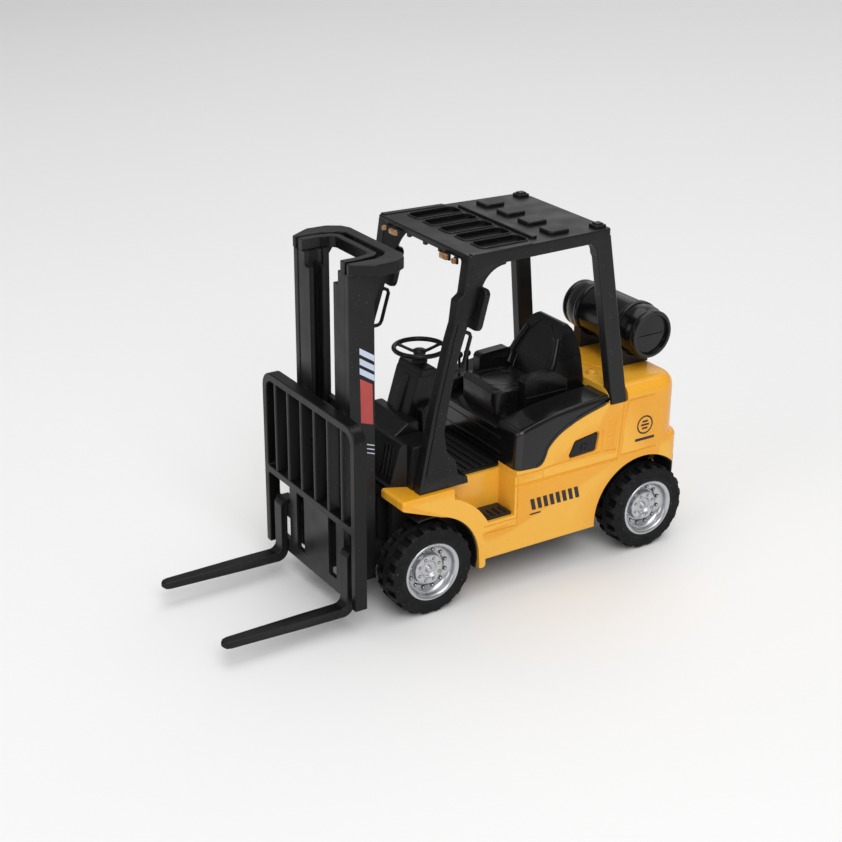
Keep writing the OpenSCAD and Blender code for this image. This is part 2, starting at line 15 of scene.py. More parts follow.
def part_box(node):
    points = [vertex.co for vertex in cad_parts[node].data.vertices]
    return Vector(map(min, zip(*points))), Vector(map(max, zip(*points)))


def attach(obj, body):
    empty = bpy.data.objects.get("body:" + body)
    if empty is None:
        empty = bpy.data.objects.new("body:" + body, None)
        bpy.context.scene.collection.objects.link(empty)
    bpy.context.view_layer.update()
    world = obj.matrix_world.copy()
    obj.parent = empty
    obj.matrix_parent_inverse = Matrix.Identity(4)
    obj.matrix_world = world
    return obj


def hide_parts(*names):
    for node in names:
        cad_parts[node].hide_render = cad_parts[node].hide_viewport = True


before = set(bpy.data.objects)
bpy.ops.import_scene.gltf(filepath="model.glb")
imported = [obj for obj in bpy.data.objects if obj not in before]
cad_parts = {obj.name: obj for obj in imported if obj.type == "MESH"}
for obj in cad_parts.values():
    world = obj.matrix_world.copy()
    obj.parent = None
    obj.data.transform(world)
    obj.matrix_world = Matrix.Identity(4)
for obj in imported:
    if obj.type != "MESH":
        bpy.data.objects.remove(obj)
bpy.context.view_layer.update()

MM = 0.001
axle_low, axle_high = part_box("front_axle")
AXLE_X = (axle_low.x + axle_high.x) / 2
TO_ROW = Matrix.Translation((AXLE_X, 0, 0)) @ Matrix.Scale(MM, 4)

# ---------- driving dimensions, in millimetres ----------
WHEELBASE = 81
TYRE_R = 14
TYRE_W = 10
TRACK = 27.2        # outer face of the tyres from the centre line
TYRE_IN = TRACK - TYRE_W
RIM_R = 9.2
BODY_HW = 26
SILL_Z = 12.5       # lower edge of the body between the wheels
FLOOR_Z = 36.8
NOSE_X = 9.7
NOSE_Z = 38.4
LIP_Z = 35.7        # underside of the nose
HOOD_Z = 57.5
REAR_X = 94.4       # how far back the bumper, the hood and the wall over the rear wheels reach
HOOD_X = 92.8
REAR_WALL = 91.8
BUMPER_Z = 37.4
TAIL_Z = 24         # lower edge of the body behind the rear wheels
CORNER_R = 7.5      # rear corners of the hood, seen from above
ARCH_R = 17
FENDER_R = 22.7
REAR_ARCH = (-WHEELBASE + 2.3, 14)
REAR_ARCH_R = 18.4
CHASSIS_HW = 16
WELL_IN = CHASSIS_HW + 0.3      # inner side of the spaces for the wheels
STEP_BACK = -29.6
STEP_FRONT = -8
STEP_Z = 24.4
STEP_Y = 17.4
WAIST_Z = 33.8
DECK_FRONT = -30
CAB_HW = 16.3
ROOF_Z = 108
ROOF_HW_FRONT = 24.8
ROOF_HW_REAR = 22.6
ROOF_LEAN = math.radians(0.3)
ROOF_FRONT = -13
GUARD_T = 3.6
LEG_OUT = ROOF_HW_FRONT - 0.6
MAST_HW = 15.7
MAST_FRONT = 21
MAST_TOP = 109
YOKE_Z = MAST_TOP - 3.5
RAIL_BACK = 12.7
RAIL_IN = 13.4
INNER_IN = 6.8
INNER_BACK = 15.2
REST_HW = 27.4
REST_TOP = 65.4
PLATE_X = 22.6
FACE_X = 24
FORK_Y = 20.1
FORK_TIP = 65.8
FORK_TOP = 7.6
COLUMN_X = -12
WHEEL_Z = 73.3
TANK = (-86, 0, 68.8)
TANK_R = 8.2
TANK_HL = 18.4      # half its length
PRINT_T = 0.04


# ---------- outlines ----------
def arc(cx, cy, r, a0, a1, n):
    """Points on a circle from angle a0 to a1, in degrees."""
    angles = [math.radians(a0 + (a1 - a0) * i / n) for i in range(n + 1)]
    return [(cx + r * math.cos(a), cy + r * math.sin(a)) for a in angles]


def rounded(points, r, n=5):
    """The closed outline with each corner replaced by an arc; a point's own third value overrides r."""
    made = []
    count = len(points)
    for i, point in enumerate(points):
        here = Vector(point[:2])
        radius = point[2] if len(point) > 2 else r
        before = Vector(points[i - 1][:2]) - here
        after = Vector(points[(i + 1) % count][:2]) - here
        turn = before.angle(after)
        if radius <= 0 or turn > math.pi - 0.05:
            made.append(tuple(here))
            continue
        back = min(radius / math.tan(turn / 2), before.length * 0.49, after.length * 0.49)
        radius = back * math.tan(turn / 2)
        middle = (before.normalized() + after.normalized()).normalized()
        centre = here + middle * (radius / math.sin(turn / 2))
        start = here + before.normalized() * back - centre
        sweep = start.angle_signed(here + after.normalized() * back - centre)
        for k in range(n + 1):
            made.append(tuple(centre + Matrix.Rotation(-sweep * k / n, 2) @ start))
    return made

def mirrored(half):
    """A symmetric outline from one half, whose points are (x, y) with or without a third value."""
    return [(x, -y, *more) for x, y, *more in half] + half[::-1]


def oblong(cx, cy, w, h, r, n=5):
    """A rectangle of size w by h with round corners."""
    w, h = w / 2, h / 2
    return rounded([(cx - w, cy - h), (cx + w, cy - h), (cx + w, cy + h), (cx - w, cy + h)], r, n)


def disc(cx, cy, r, n=48):
    return arc(cx, cy, r, 0, 360 - 360 / n, n - 1)


def spline(points, n=6):
    """A smooth path through the points."""
    points = [Vector(p) for p in points]
    made = []
    for i in range(len(points) - 1):
        a, b, c = points[max(i - 1, 0)], points[i], points[i + 1]
        d = points[min(i + 2, len(points) - 1)]
        for k in range(n):
            t = k / n
            made.append(tuple((b * 2 + (c - a) * t + (a * 2 - b * 5 + c * 4 - d) * t * t
                               + (b * 3 - a - c * 3 + d) * t ** 3) / 2))
    return made + [tuple(points[-1])]


def channel(path, width):
    """The outline of a line of the given width along an open path."""
    points = [Vector(p) for p in path]
    left, right = [], []
    for i, p in enumerate(points):
        along = (points[min(i + 1, len(points) - 1)] - points[max(i - 1, 0)]).normalized()
        side = Vector((-along.y, along.x)) * width / 2
        left.append(tuple(p + side))
        right.append(tuple(p - side))
    return left + right[::-1]


# ---------- meshes ----------
def from_bmesh(bm, name="work"):
    bmesh.ops.recalc_face_normals(bm, faces=bm.faces)
    mesh = bpy.data.meshes.new(name)
    bm.to_mesh(mesh)
    bm.free()
    obj = bpy.data.objects.new(name, mesh)
    bpy.context.scene.collection.objects.link(obj)
    return obj


PLACES = {
    "x": lambda p, h: (h, p[0], p[1]),
    "y": lambda p, h: (p[0], h, p[1]),
    "z": lambda p, h: (p[0], p[1], h),
}


def loft(rings, closed=False):
    """A solid through rings of 3-D points, one of which may be a single point. Its ends are flat."""
    bm = bmesh.new()
    count = max(len(ring) for ring in rings)
    made = [[bm.verts.new(p) for p in ring] * (count // len(ring)) for ring in rings]
    pairs = list(zip(made, made[1:]))
    if closed:
        pairs.append((made[-1], made[0]))
    else:
        for end in (made[0], made[-1][::-1]):
            if end[0] != end[1]:
                bm.faces.new(end)
    for a, b in pairs:
        for i in range(count):
            j = (i + 1) % count
            corners = list(dict.fromkeys((a[i], a[j], b[j], b[i])))
            if len(corners) > 2:
                bm.faces.new(corners)
    return from_bmesh(bm)


def prism(outline, axis, low, high):
    """The outline pushed along an axis. Its points hold the other two coordinates, in X, Y, Z order."""
    return loft([[PLACES[axis](p, h) for p in outline] for h in (low, high)])


def box(low, high):
    (x0, y0, z0), (x1, y1, z1) = low, high
    return prism([(x0, y0), (x1, y0), (x1, y1), (x0, y1)], "z", z0, z1)


def slab(x0, x1, half_width, z0, z1):
    """A box across the truck's middle."""
    return box((x0, -half_width, z0), (x1, half_width, z1))


def across(outline, half_width):
    """A side outline pushed across the truck's middle."""
    return prism(outline, "y", -half_width, half_width)


def lathe(profile, centre, axis="y", steps=96, closed=False):
    """The profile of (radius, place along the axis) points turned round an axis through centre."""
    rings = []
    for r, h in profile:
        angles = [math.tau * i / steps for i in range(steps)] if r > 0 else [0]
        ring = [PLACES[axis]((r * math.cos(a), r * math.sin(a)), h) for a in angles]
        rings.append([Vector(p) + Vector(centre) for p in ring])
    return loft(rings, closed)


def tube(path, radius, sides=16, closed=False):
    """A round bar along a path of 3-D points."""
    points = [Vector(p) for p in path]
    count = len(points)
    rings = []
    side = None
    for i, p in enumerate(points):
        ahead = points[(i + 1) % count] if closed or i < count - 1 else p
        behind = points[i - 1] if closed or i > 0 else p
        along = (ahead - behind).normalized()
        if side is None:
            side = along.orthogonal().normalized()
        side = (side - along * side.dot(along)).normalized()
        up = along.cross(side)
        rings.append([p + radius * (math.cos(a) * side + math.sin(a) * up)
                      for a in (math.tau * k / sides for k in range(sides))])
    return loft(rings, closed)


def settle(obj):
    """Applies the object's modifiers."""
    graph = bpy.context.evaluated_depsgraph_get()
    mesh = bpy.data.meshes.new_from_object(obj.evaluated_get(graph), depsgraph=graph)
    old = obj.data
    obj.modifiers.clear()
    obj.data = mesh
    bpy.data.meshes.remove(old)
    return obj


def combine(target, operation, *tools):
    """Applies a boolean operation and removes the tools."""
    for tool in tools:
        step = target.modifiers.new("combine", "BOOLEAN")
        step.operation = operation
        step.solver = "MANIFOLD"
        step.object = tool
    settle(target)
    for tool in tools:
        bpy.data.objects.remove(tool)
    return target


def cut(target, *tools):
    return combine(target, "DIFFERENCE", *tools)


def fuse(target, *tools):
    return combine(target, "UNION", *tools)


def common(target, *tools):
    return combine(target, "INTERSECT", *tools)


def join(*objs):
    """Several closed solids in one object, left separate."""
    bm = bmesh.new()
    for o in objs:
        bm.from_mesh(o.data)
        bpy.data.objects.remove(o)
    return from_bmesh(bm)


def flipped(obj):
    """obj mirrored to the other side of the truck."""
    obj.data.transform(Matrix.Scale(-1, 4, (0, 1, 0)))
    obj.data.flip_normals()
    return obj

def both(make, *values):
    """The solid that make(*values) gives on the left, with its twin on the right."""
    return [make(*values), flipped(make(*values))]


def moved(obj, matrix):
    obj.data.transform(matrix)
    return obj


def shifted(obj, x, y, z):
    return moved(obj, Matrix.Translation((x, y, z)))


def tidy(obj, angle=1.0):
    """Joins flat neighbouring faces, so that a bevel sees clean edges."""
    bm = bmesh.new()
    bm.from_mesh(obj.data)
    bmesh.ops.remove_doubles(bm, verts=bm.verts, dist=0.002)
    bmesh.ops.dissolve_limit(bm, angle_limit=math.radians(angle), verts=bm.verts, edges=bm.edges)
    bm.to_mesh(obj.data)
    bm.free()
    return obj


def soften(obj, width, segments=3, angle=28):
    """Rounds every edge sharper than angle."""
    tidy(obj)
    step = obj.modifiers.new("soften", "BEVEL")
    step.width = width
    step.segments = segments
    step.limit_method = "ANGLE"
    step.angle_limit = math.radians(angle)
    step.miter_outer = "MITER_ARC"
    return settle(obj)


def round_edges(obj, width, test):
    """Rounds the edges for which test(middle) is true."""
    tidy(obj)
    bm = bmesh.new()
    bm.from_mesh(obj.data)
    chosen = [e for e in bm.edges if len(e.link_faces) == 2 and e.calc_face_angle(0) > 0.4
              and test((e.verts[0].co + e.verts[1].co) / 2)]
    bmesh.ops.bevel(bm, geom=chosen, offset=width, segments=4, affect="EDGES", profile=0.5)
    bm.to_mesh(obj.data)
    bm.free()
    return obj


def shade(obj, sharp):
    """Smooth shading in which a flat area keeps its own direction up to its rounded edges."""
    bm = bmesh.new()
    bm.from_mesh(obj.data)
    bm.faces.ensure_lookup_table()
    area = [f.calc_area() for f in bm.faces]
    seen = [False] * len(area)
    for start in bm.faces:
        if seen[start.index]:
            continue
        seen[start.index] = True
        group, queue = [start], [start]
        while queue:
            face = queue.pop()
            for edge in face.edges:
                for other in edge.link_faces:
                    if not seen[other.index] and face.normal.dot(other.normal) > 0.99999:
                        seen[other.index] = True
                        group.append(other)
                        queue.append(other)
        total = sum(area[f.index] for f in group)
        for f in group:
            area[f.index] = total
    limit = math.cos(math.radians(sharp))
    normals = []
    for face in bm.faces:
        for corner in face.loops:
            sums = Vector()
            for other in corner.vert.link_faces:
                if face.normal.dot(other.normal) > limit:
                    sums += other.normal * area[other.index]
            normals.append(tuple(sums.normalized()))
    bm.free()
    obj.data.normals_split_custom_set(normals)


# ---------- finishes ----------
class Nodes:
    """A node material under construction, with object coordinates in metres."""

    def __init__(self, name):
        self.material = bpy.data.materials.new(name)
        self.material.use_nodes = True
        self.tree = self.material.node_tree
        self.shader = self.tree.nodes["Principled BSDF"]
        self.place = self.tree.nodes.new("ShaderNodeTexCoord").outputs["Object"]

    def feed(self, socket, value):
        """Links another node's output to the socket, or gives the socket a plain value or colour."""
        if isinstance(value, bpy.types.NodeSocket):
            self.tree.links.new(value, socket)
        elif isinstance(value, tuple):
            socket.default_value = (*value, 1)
        else:
            socket.default_value = value

    def node(self, kind, inputs=None, **settings):
        made = self.tree.nodes.new(kind)
        for key, value in settings.items():
            setattr(made, key, value)
        for key, value in (inputs or {}).items():
            self.feed(made.inputs[key], value)
        return made

    def noise(self, scale, detail=2.0, rough=0.5):
        return self.node("ShaderNodeTexNoise", {"Vector": self.place, "Scale": scale, "Detail": detail,
                                                "Roughness": rough}).outputs["Fac"]

    def span(self, value, low, high, to_low, to_high):
        """value mapped from low..high to to_low..to_high, clamped."""
        return self.node("ShaderNodeMapRange", {"Value": value, "From Min": low, "From Max": high,
                                                "To Min": to_low, "To Max": to_high}).outputs["Result"]

    def blend(self, share, a, b):
        made = self.node("ShaderNodeMix", {"Factor": share}, data_type="RGBA")
        self.feed(made.inputs[6], a)
        self.feed(made.inputs[7], b)
        return made.outputs[2]

    def edges(self, low, high):
        """1 on convex edges and 0 on flats."""
        point = self.node("ShaderNodeNewGeometry").outputs["Pointiness"]
        return self.span(point, low, high, 0, 1)

    def relief(self, *layers):
        """Bump from (height, strength, distance in millimetres) layers."""
        normal = None
        for height, strength, distance in layers:
            inputs = {"Height": height, "Strength": strength, "Distance": distance * MM}
            if normal is not None:
                inputs["Normal"] = normal
            normal = self.node("ShaderNodeBump", inputs).outputs["Normal"]
        self.set("Normal", normal)

    def set(self, name, value):
        self.feed(self.shader.inputs[name], value)

    def mottle(self, a, b, scale, detail, low=0.3):
        """Colour that drifts between a and b in soft clouds."""
        return self.blend(self.span(self.noise(scale, detail), low, 1 - low, 0, 1), a, b)

    def gloss(self, low, high, scale, detail=2.0):
        """Roughness that drifts between low and high."""
        self.set("Roughness", self.span(self.noise(scale, detail), 0.3, 0.7, low, high))


def plastic(name, base, tint, roughness, shine=0.5, coat=0.0, grain=0.12, grain_scale=2600, speck=0.0,
            edge=None):
    """Moulded plastic or sprayed paint: cloudy colour, uneven gloss, fine grain, dust, and an edge colour on
    convex edges that is a painted highlight.
    """
    m = Nodes(name)
    colour = m.mottle(base, tint, 55, 4, 0.35)
    # painted highlight: convex edges take the lighter edge colour
    if edge:
        colour = m.blend(m.edges(0.52, 0.62), colour, edge)
    if speck:
        dust = m.span(m.noise(1500, 1), 0.71, 0.76, 0, speck)
        colour = m.blend(dust, colour, (0.35, 0.35, 0.36))
    m.set("Base Color", colour)
    m.gloss(roughness * 0.8, roughness * 1.25, 140, 3)
    m.set("Specular IOR Level", shine)
    m.set("Coat Weight", coat)
    m.set("Coat Roughness", 0.08)
    m.relief((m.noise(130, 2), 0.03, 0.2), (m.noise(grain_scale, 3), grain, 0.02))
    return m.material


def silver_finish(name, base, shade_colour, roughness):
    """Metallised plastic, bright and slightly uneven."""
    m = Nodes(name)
    m.set("Base Color", m.mottle(base, shade_colour, 90, 3, 0.35))
    m.set("Metallic", 0.92)
    m.gloss(roughness * 0.85, roughness * 1.15, 160)
    m.relief((m.noise(2200, 2), 0.05, 0.01))
    return m.material


def steel_finish(name):
    """Turned steel with rings round the truck's cross axis."""
    m = Nodes(name)
    rings = m.node("ShaderNodeTexWave", {"Vector": m.place, "Scale": 900, "Distortion": 1.5, "Detail": 2},
                   bands_direction="Y").outputs["Fac"]
    m.set("Base Color", m.blend(rings, (0.46, 0.47, 0.49), (0.6, 0.61, 0.63)))
    m.set("Metallic", 1.0)
    m.gloss(0.22, 0.42, 600)
    m.relief((rings, 0.15, 0.02))
    return m.material


def rubber_finish(name):
    """Moulded rubber, dull, with a fine grain, a lighter colour on the lugs' convex edges and specks of dust.
    """
    m = Nodes(name)
    colour = m.mottle((0.0045, 0.0045, 0.005), (0.0085, 0.0085, 0.009), 180, 4)
    colour = m.blend(m.edges(0.53, 0.66), colour, (0.02, 0.02, 0.021))
    dust = m.span(m.noise(1300, 1), 0.72, 0.76, 0, 0.25)
    m.set("Base Color", m.blend(dust, colour, (0.3, 0.3, 0.31)))
    m.gloss(0.55, 0.78, 500, 3)
    m.set("Specular IOR Level", 0.2)
    m.relief((m.noise(350, 3), 0.08, 0.1), (m.noise(3200, 3), 0.2, 0.02))
    return m.material


def lens_finish(name):
    """Brown amber lens paint with a clear top."""
    m = Nodes(name)
    m.set("Base Color", m.mottle((0.2, 0.085, 0.02), (0.42, 0.2, 0.06), 700, 3))
    m.gloss(0.12, 0.3, 900)
    m.set("Coat Weight", 0.8)
    m.relief((m.noise(1600, 2), 0.2, 0.05))
    return m.material


def print_finish(name, base, worn, wear):
    """A printed mark with slightly broken ink."""
    m = Nodes(name)
    broken = m.span(m.noise(1900, 4, 0.7), 0.62, 0.72, 0, wear)
    colour = m.blend(m.span(m.noise(300, 2), 0.35, 0.65, 0, 0.35), base, tuple(c * 0.82 for c in base))
    m.set("Base Color", m.blend(broken, colour, worn))
    m.gloss(0.35, 0.55, 900)
    m.relief((m.noise(2400, 2), 0.1, 0.02))
    return m.material


# the edge colours below are painted highlights along convex edges
YELLOW = plastic("yellow_paint", (0.9, 0.405, 0.018), (0.86, 0.375, 0.015), 0.27, shine=0.4, coat=0.25,
                 grain=0.02, grain_scale=1500, edge=(0.93, 0.48, 0.045))
SATIN = plastic("satin_black", (0.0042, 0.0042, 0.0047), (0.0062, 0.0062, 0.0067), 0.34, shine=0.24,
                grain=0.1, speck=0.12, edge=(0.018, 0.018, 0.0185))
GLOSS = plastic("gloss_black", (0.0035, 0.0035, 0.004), (0.005, 0.005, 0.0055), 0.18, shine=0.35,
                coat=0.06, grain=0.02, speck=0.05, edge=(0.022, 0.022, 0.0225))
SEAT = plastic("seat_black", (0.0036, 0.0036, 0.0041), (0.0052, 0.0052, 0.0058), 0.27, shine=0.3,
               grain=0.06, grain_scale=1900, speck=0.08, edge=(0.022, 0.022, 0.0225))
SILVER = silver_finish("silver_rim", (0.6, 0.61, 0.63), (0.53, 0.54, 0.565), 0.3)
STEEL = steel_finish("turned_steel")
RUBBER = rubber_finish("tyre_rubber")
LENS = lens_finish("amber_lens")
PRINT_BLACK = print_finish("print_black", (0.009, 0.007, 0.006), (0.5, 0.26, 0.05), 0.12)
PRINT_WHITE = print_finish("print_white", (0.6, 0.68, 0.84), (0.25, 0.26, 0.3), 0.4)
PRINT_RED = print_finish("print_red", (0.48, 0.062, 0.056), (0.2, 0.04, 0.04), 0.3)
# painted shade: the dark finish of the discs round the wheel studs and nuts
SOCKET_SHADE = plastic("socket_shadow", (0.03, 0.03, 0.032), (0.05, 0.05, 0.053), 0.5, shine=0.3)

SIDES = (("left", lambda obj: obj), ("right", flipped))


def put(obj, name, node=None, finish=SATIN, body="truck", sharp=40, flat=True):
    """Moves a finished shape into the row frame, with its name, finish, body and the node it replaces."""
    obj.name = name
    obj.data.name = name
    obj.data.transform(TO_ROW)
    for face in obj.data.polygons:
        face.use_smooth = True
    if flat:
        shade(obj, sharp)
    else:
        obj.data.set_sharp_from_angle(angle=math.radians(sharp))
    obj.data.materials.clear()
    obj.data.materials.append(finish)
    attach(obj, body)
    if node:
        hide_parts(node)


# ---------- wheels ----------
TREAD_COUNT = 20    # pockets in each of the two rows
TREAD_GAP = 0.6     # share of each pitch that is a pocket
POCKET_DEPTH = 1.3
# rings of small domes on a rim: circle radius, count, distance from the inner face, radius of a dark disc of
# painted shade round each dome
DOME_RINGS = ((6.15, 12, 7.18, 0.62), (3.62, 8, 7.95, 0.52))


def tyre(x):
    """Tyre with two rows of square pockets that open at the shoulders, staggered by half a pitch."""
    # radius, distance from the inner face and depth of a pocket there, across one row
    row = [(9.22, 0.25, 0), (10.6, 0.0, 0), (11.1, 0.12, 0), (12.7, 0.12, 0), (13.25, 0.25, 0.1),
           (13.7, 0.5, 0.3), (13.9, 0.75, 0.5), (TYRE_R, 1.3, POCKET_DEPTH), (TYRE_R, 4.0, POCKET_DEPTH),
           (TYRE_R, 4.25, 0), (TYRE_R - 0.05, 4.8, 0), (TYRE_R - 0.3, 4.92, 0)]
    rows = [(r, y, drop, 0.0) for r, y, drop in row]
    rows += [(r, TYRE_W - y, drop, 0.5) for r, y, drop in reversed(row)]
    near = TREAD_GAP / 2 - 0.09
    far = TREAD_GAP / 2 - 0.03
    places = sorted(i * 0.5 + share for i in range(TREAD_COUNT * 2) for share in (-far, -near, near, far))
    rings = []
    for r, y, drop, stagger in rows:
        ring = []
        for place in places:
            a = place / TREAD_COUNT * math.tau
            in_pocket = abs((place + stagger) % 1.0 - 0.5) < TREAD_GAP / 2 - 0.02
            radius = r - drop if in_pocket else r
            ring.append((x + radius * math.cos(a), TYRE_IN + y, TYRE_R + radius * math.sin(a)))
        rings.append(ring)
    return loft(rings, closed=True)


def dome_ring(x, ring_r, count, foot, r, high):
    """A ring of small domes on a wheel."""
    dome = [(0, high), (r * 0.5, high * 0.85), (r * 0.88, high * 0.45), (r, 0), (r, -0.4), (0, -0.4)]
    angles = [math.tau * (i + 0.5) / count for i in range(count)]
    return [lathe(dome, (x + ring_r * math.cos(a), TYRE_IN + foot, TYRE_R + ring_r * math.sin(a)), steps=16)
            for a in angles]


def rim(x):
    """Dished rim: polished lip, studded ring, raised hub disc with nuts and a sunk boss."""
    lip = TYRE_W
    profile = [(0, 8.1), (0.45, 8.05), (0.8, 7.8), (0.9, 7.2), (1.15, 7.0), (2.2, 7.0), (2.45, 7.15),
               (2.6, 7.75), (2.8, 7.95), (4.45, 7.95), (4.75, 7.75), (4.85, 6.4), (5.1, 6.05), (5.45, 6.1),
               (5.7, 6.8), (6.8, 7.2), (7.25, 7.5), (7.6, 7.95), (7.8, 8.5), (7.95, lip - 0.75),
               (8.1, lip - 0.45), (8.3, lip - 0.32), (8.6, lip - 0.1), (8.85, lip), (9.05, lip - 0.05),
               (RIM_R, lip - 0.25), (RIM_R, 0.4), (7.6, 0.4), (7.6, 3.4), (3.4, 3.4), (3.4, 0.5),
               (1.52, 0.5), (1.52, 5), (0, 5)]
    made = [lathe(profile, (x, TYRE_IN, TYRE_R), steps=128)]
    for ring_r, count, foot, r in DOME_RINGS:
        made += dome_ring(x, ring_r, count, foot, r * 0.62, r * 0.6)
    return join(*made)


def socket_shades(x):
    """Flat dark discs round the bases of the studs and nuts: painted shade, standing in for the shadow round
    each one.
    """
    made = []
    for ring_r, count, foot, r in DOME_RINGS:
        made += dome_ring(x, ring_r, count, foot, r, 0.05)
    return join(*made)


for axle, x in (("front", 0), ("rear", -WHEELBASE)):
    wheels = f"{axle}_wheels"
    for side, flip in SIDES:
        put(flip(tyre(x)), f"{axle}_tyre_{side}_tread", f"{axle}_tyre_{side}", RUBBER, wheels, sharp=38)
        # painted shade: dark discs round the studs and nuts
        put(flip(socket_shades(x)), f"{axle}_rim_{side}_sockets", None, SOCKET_SHADE, wheels, sharp=50, flat=False)
        put(flip(rim(x)), f"{axle}_rim_{side}_dish", f"{axle}_rim_{side}", SILVER, wheels, sharp=50,
            flat=False)


# ---------- body ----------
DECK_CURVE = ([(DECK_FRONT, 38.6)] + arc(-37.4, 41.2, 3, -90, -158, 8)
              + spline([(-40.3, 40.1), (-41.6, 43.4), (-44.6, 46.4), (-48.6, 48.7), (-55, 51.1),
                        (-64.05, 53.4)], 5)[2:])
DECK_TOP = spline([(-64, 55.8), (-55, 55.3), (-45, 54.2), (-38, 52.9), (-31.6, 51.2)], 5)
PAN_DEPTH = 1.9     # the middle of the deck, under the seat, is lower than its sides
WALL_T = 1.6        # thickness of the shell round the steps
INSET = rounded([(-49.2, 38.4), (-51.6, 43.4), (-60.4, 44.8), (-59.4, 38.9)], 0.7)
INSET_FRAME = rounded([(-48.6, 38.15), (-51.3, 43.8), (-60.9, 45.3), (-59.9, 38.6)], 0.9)
# lines pressed into the sides: path of (x, z) points, width and depth
GROOVES = (
    ([(-29.3, WAIST_Z), (-68.3, WAIST_Z)], 1.15, 0.4),
    ([(-39.8, 34), (-39.8, 37.2)], 0.45, 0.2),
    (spline([(-28.4, 37.3), (-37, 37.1), (-40.2, 37.3), (-44, 37.7)])
     + [(-61.4, 37.8), (-61.9, 38.3), (-62.1, 44.8)], 0.5, 0.22),
    ([(-18.6, 23.3), (-30.3, 23.3)], 0.45, 0.2),
    ([(-18.9, 21), (-30.5, 21), (-30.5, FLOOR_Z)], 0.5, 0.25),
    ([(-68.2, WAIST_Z), (-69.8, 52)], 0.55, 0.28),
    ([(-69.7, 34.7), (-70.4, 44), (-71.4, 51.4), (-72.4, 52.6), (-81.7, 52.6)], 0.5, 0.24),
    ([(-69.7, 34.8), (-83.5, 34.8)], 0.5, 0.24),
    ([(-62.5, 37.8), (-67.6, 37.2)], 0.4, 0.18),
)
VENT_GROOVE = ([(-67.2, 47.9), (-66.2, 39)], 0.4, 0.18)


def deck_top(x):
    return float(np.interp(x, [p[0] for p in DECK_TOP], [p[1] for p in DECK_TOP]))


def body_plan(back, r, inset):
    """The body seen from above, with round rear corners, made smaller by inset."""
    edge = BODY_HW - inset
    return rounded([(NOSE_X, -edge, 0.9), (NOSE_X, edge, 0.9), (inset - back, edge, r - inset),
                    (inset - back, -edge, r - inset)], 0, 10)


def round_top(back, r, top, edge):
    """A block with the body's plan and a rounded top edge."""
    rings = [(0, 0), (0, top - edge)]
    for a in np.linspace(0, math.pi / 2, 9)[1:]:
        rings.append((edge * (1 - math.cos(a)), top - edge * (1 - math.sin(a))))
    return loft([[(x, y, z) for x, y in body_plan(back, r, inset)] for inset, z in rings])


def groove(body, path, width, depth):
    """Presses a round-bottomed line into both sides of the body."""
    r = (width * width / 4 + depth * depth) / (2 * depth)
    cut(body, *both(tube, [(x, BODY_HW + r - depth, z) for x, z in path], r, 20))


def wheel_disc(r, low, high, centre=(0, TYRE_R)):
    """A disc about a wheel's centre, from y = low to y = high."""
    return prism(disc(*centre, r, 96), "y", low, high)


def rear_arch_space():
    """The space over a rear wheel, ahead of the wall behind it."""
    space = wheel_disc(REAR_ARCH_R, WELL_IN, BODY_HW + 1, REAR_ARCH)
    return common(space, box((-REAR_WALL, 0, 0), (0, 40, 60)))


def fender():
    """Solid part of a front fender over its arch."""
    solid = wheel_disc(FENDER_R, WELL_IN, BODY_HW)
    common(solid, box((-40, 0, 0), (0, 40, 40)))
    return cut(solid, wheel_disc(ARCH_R - 1, 10, 30))


def wheel_well(centre, r, rear, front, low):
    """Black lining above a wheel, inside the painted arch."""
    lining = wheel_disc(r + 0.02, WELL_IN + 0.02, BODY_HW - 1, centre)
    cut(lining, wheel_disc(r - 0.4, CHASSIS_HW, BODY_HW, centre))
    return common(lining, box((rear, 0, low), (front, 40, 60)))


def wheel_wells():
    """Linings over all four wheels, with an end wall behind each rear wheel."""
    back = 0.02 - REAR_WALL
    return join(*both(wheel_well, (0, TYRE_R), ARCH_R, -ARCH_R, 4, 10),
                *both(wheel_well, REAR_ARCH, REAR_ARCH_R, back, REAR_ARCH[0] + REAR_ARCH_R, 24.4),
                *both(box, (back, WELL_IN + 0.02, 23.4), (0.4 - REAR_WALL, BODY_HW - 1, 29.5)))


def step_recess():
    """The step's space behind a front fender."""
    recess = prism([(STEP_FRONT, 40), (STEP_BACK, 40), (STEP_BACK, STEP_Z), (STEP_FRONT, STEP_Z)],
                   "y", STEP_Y, BODY_HW + 1)
    return cut(recess, wheel_disc(FENDER_R, 10, 30))


def inner_space():
    """What is left out of the body to make it a shell, open underneath."""
    space = fuse(slab(-90, -65.8, 40, 0, 50), slab(-66, -31.5, 40, 0, 50),
                 slab(-32, 5, 40, 0, FLOOR_Z - 2.2))
    common(space, prism(body_plan(HOOD_X, CORNER_R, 1.8), "z", 0, 80))
    cut(space, *both(fender))
    back, low = STEP_BACK - WALL_T, STEP_Z - WALL_T
    under_step = [(-11, FLOOR_Z - 1), (back, FLOOR_Z - 1), (back, low), (-21, low), (-17, 28)]
    lip = [(NOSE_X, LIP_Z), (NOSE_X, NOSE_Z), (STEP_FRONT, NOSE_Z), (STEP_FRONT, 34), (4.5, 34)]
    return cut(space, *both(prism, under_step, "y", STEP_Y - 1.2, BODY_HW),
               *both(prism, lip, "y", 8, BODY_HW))


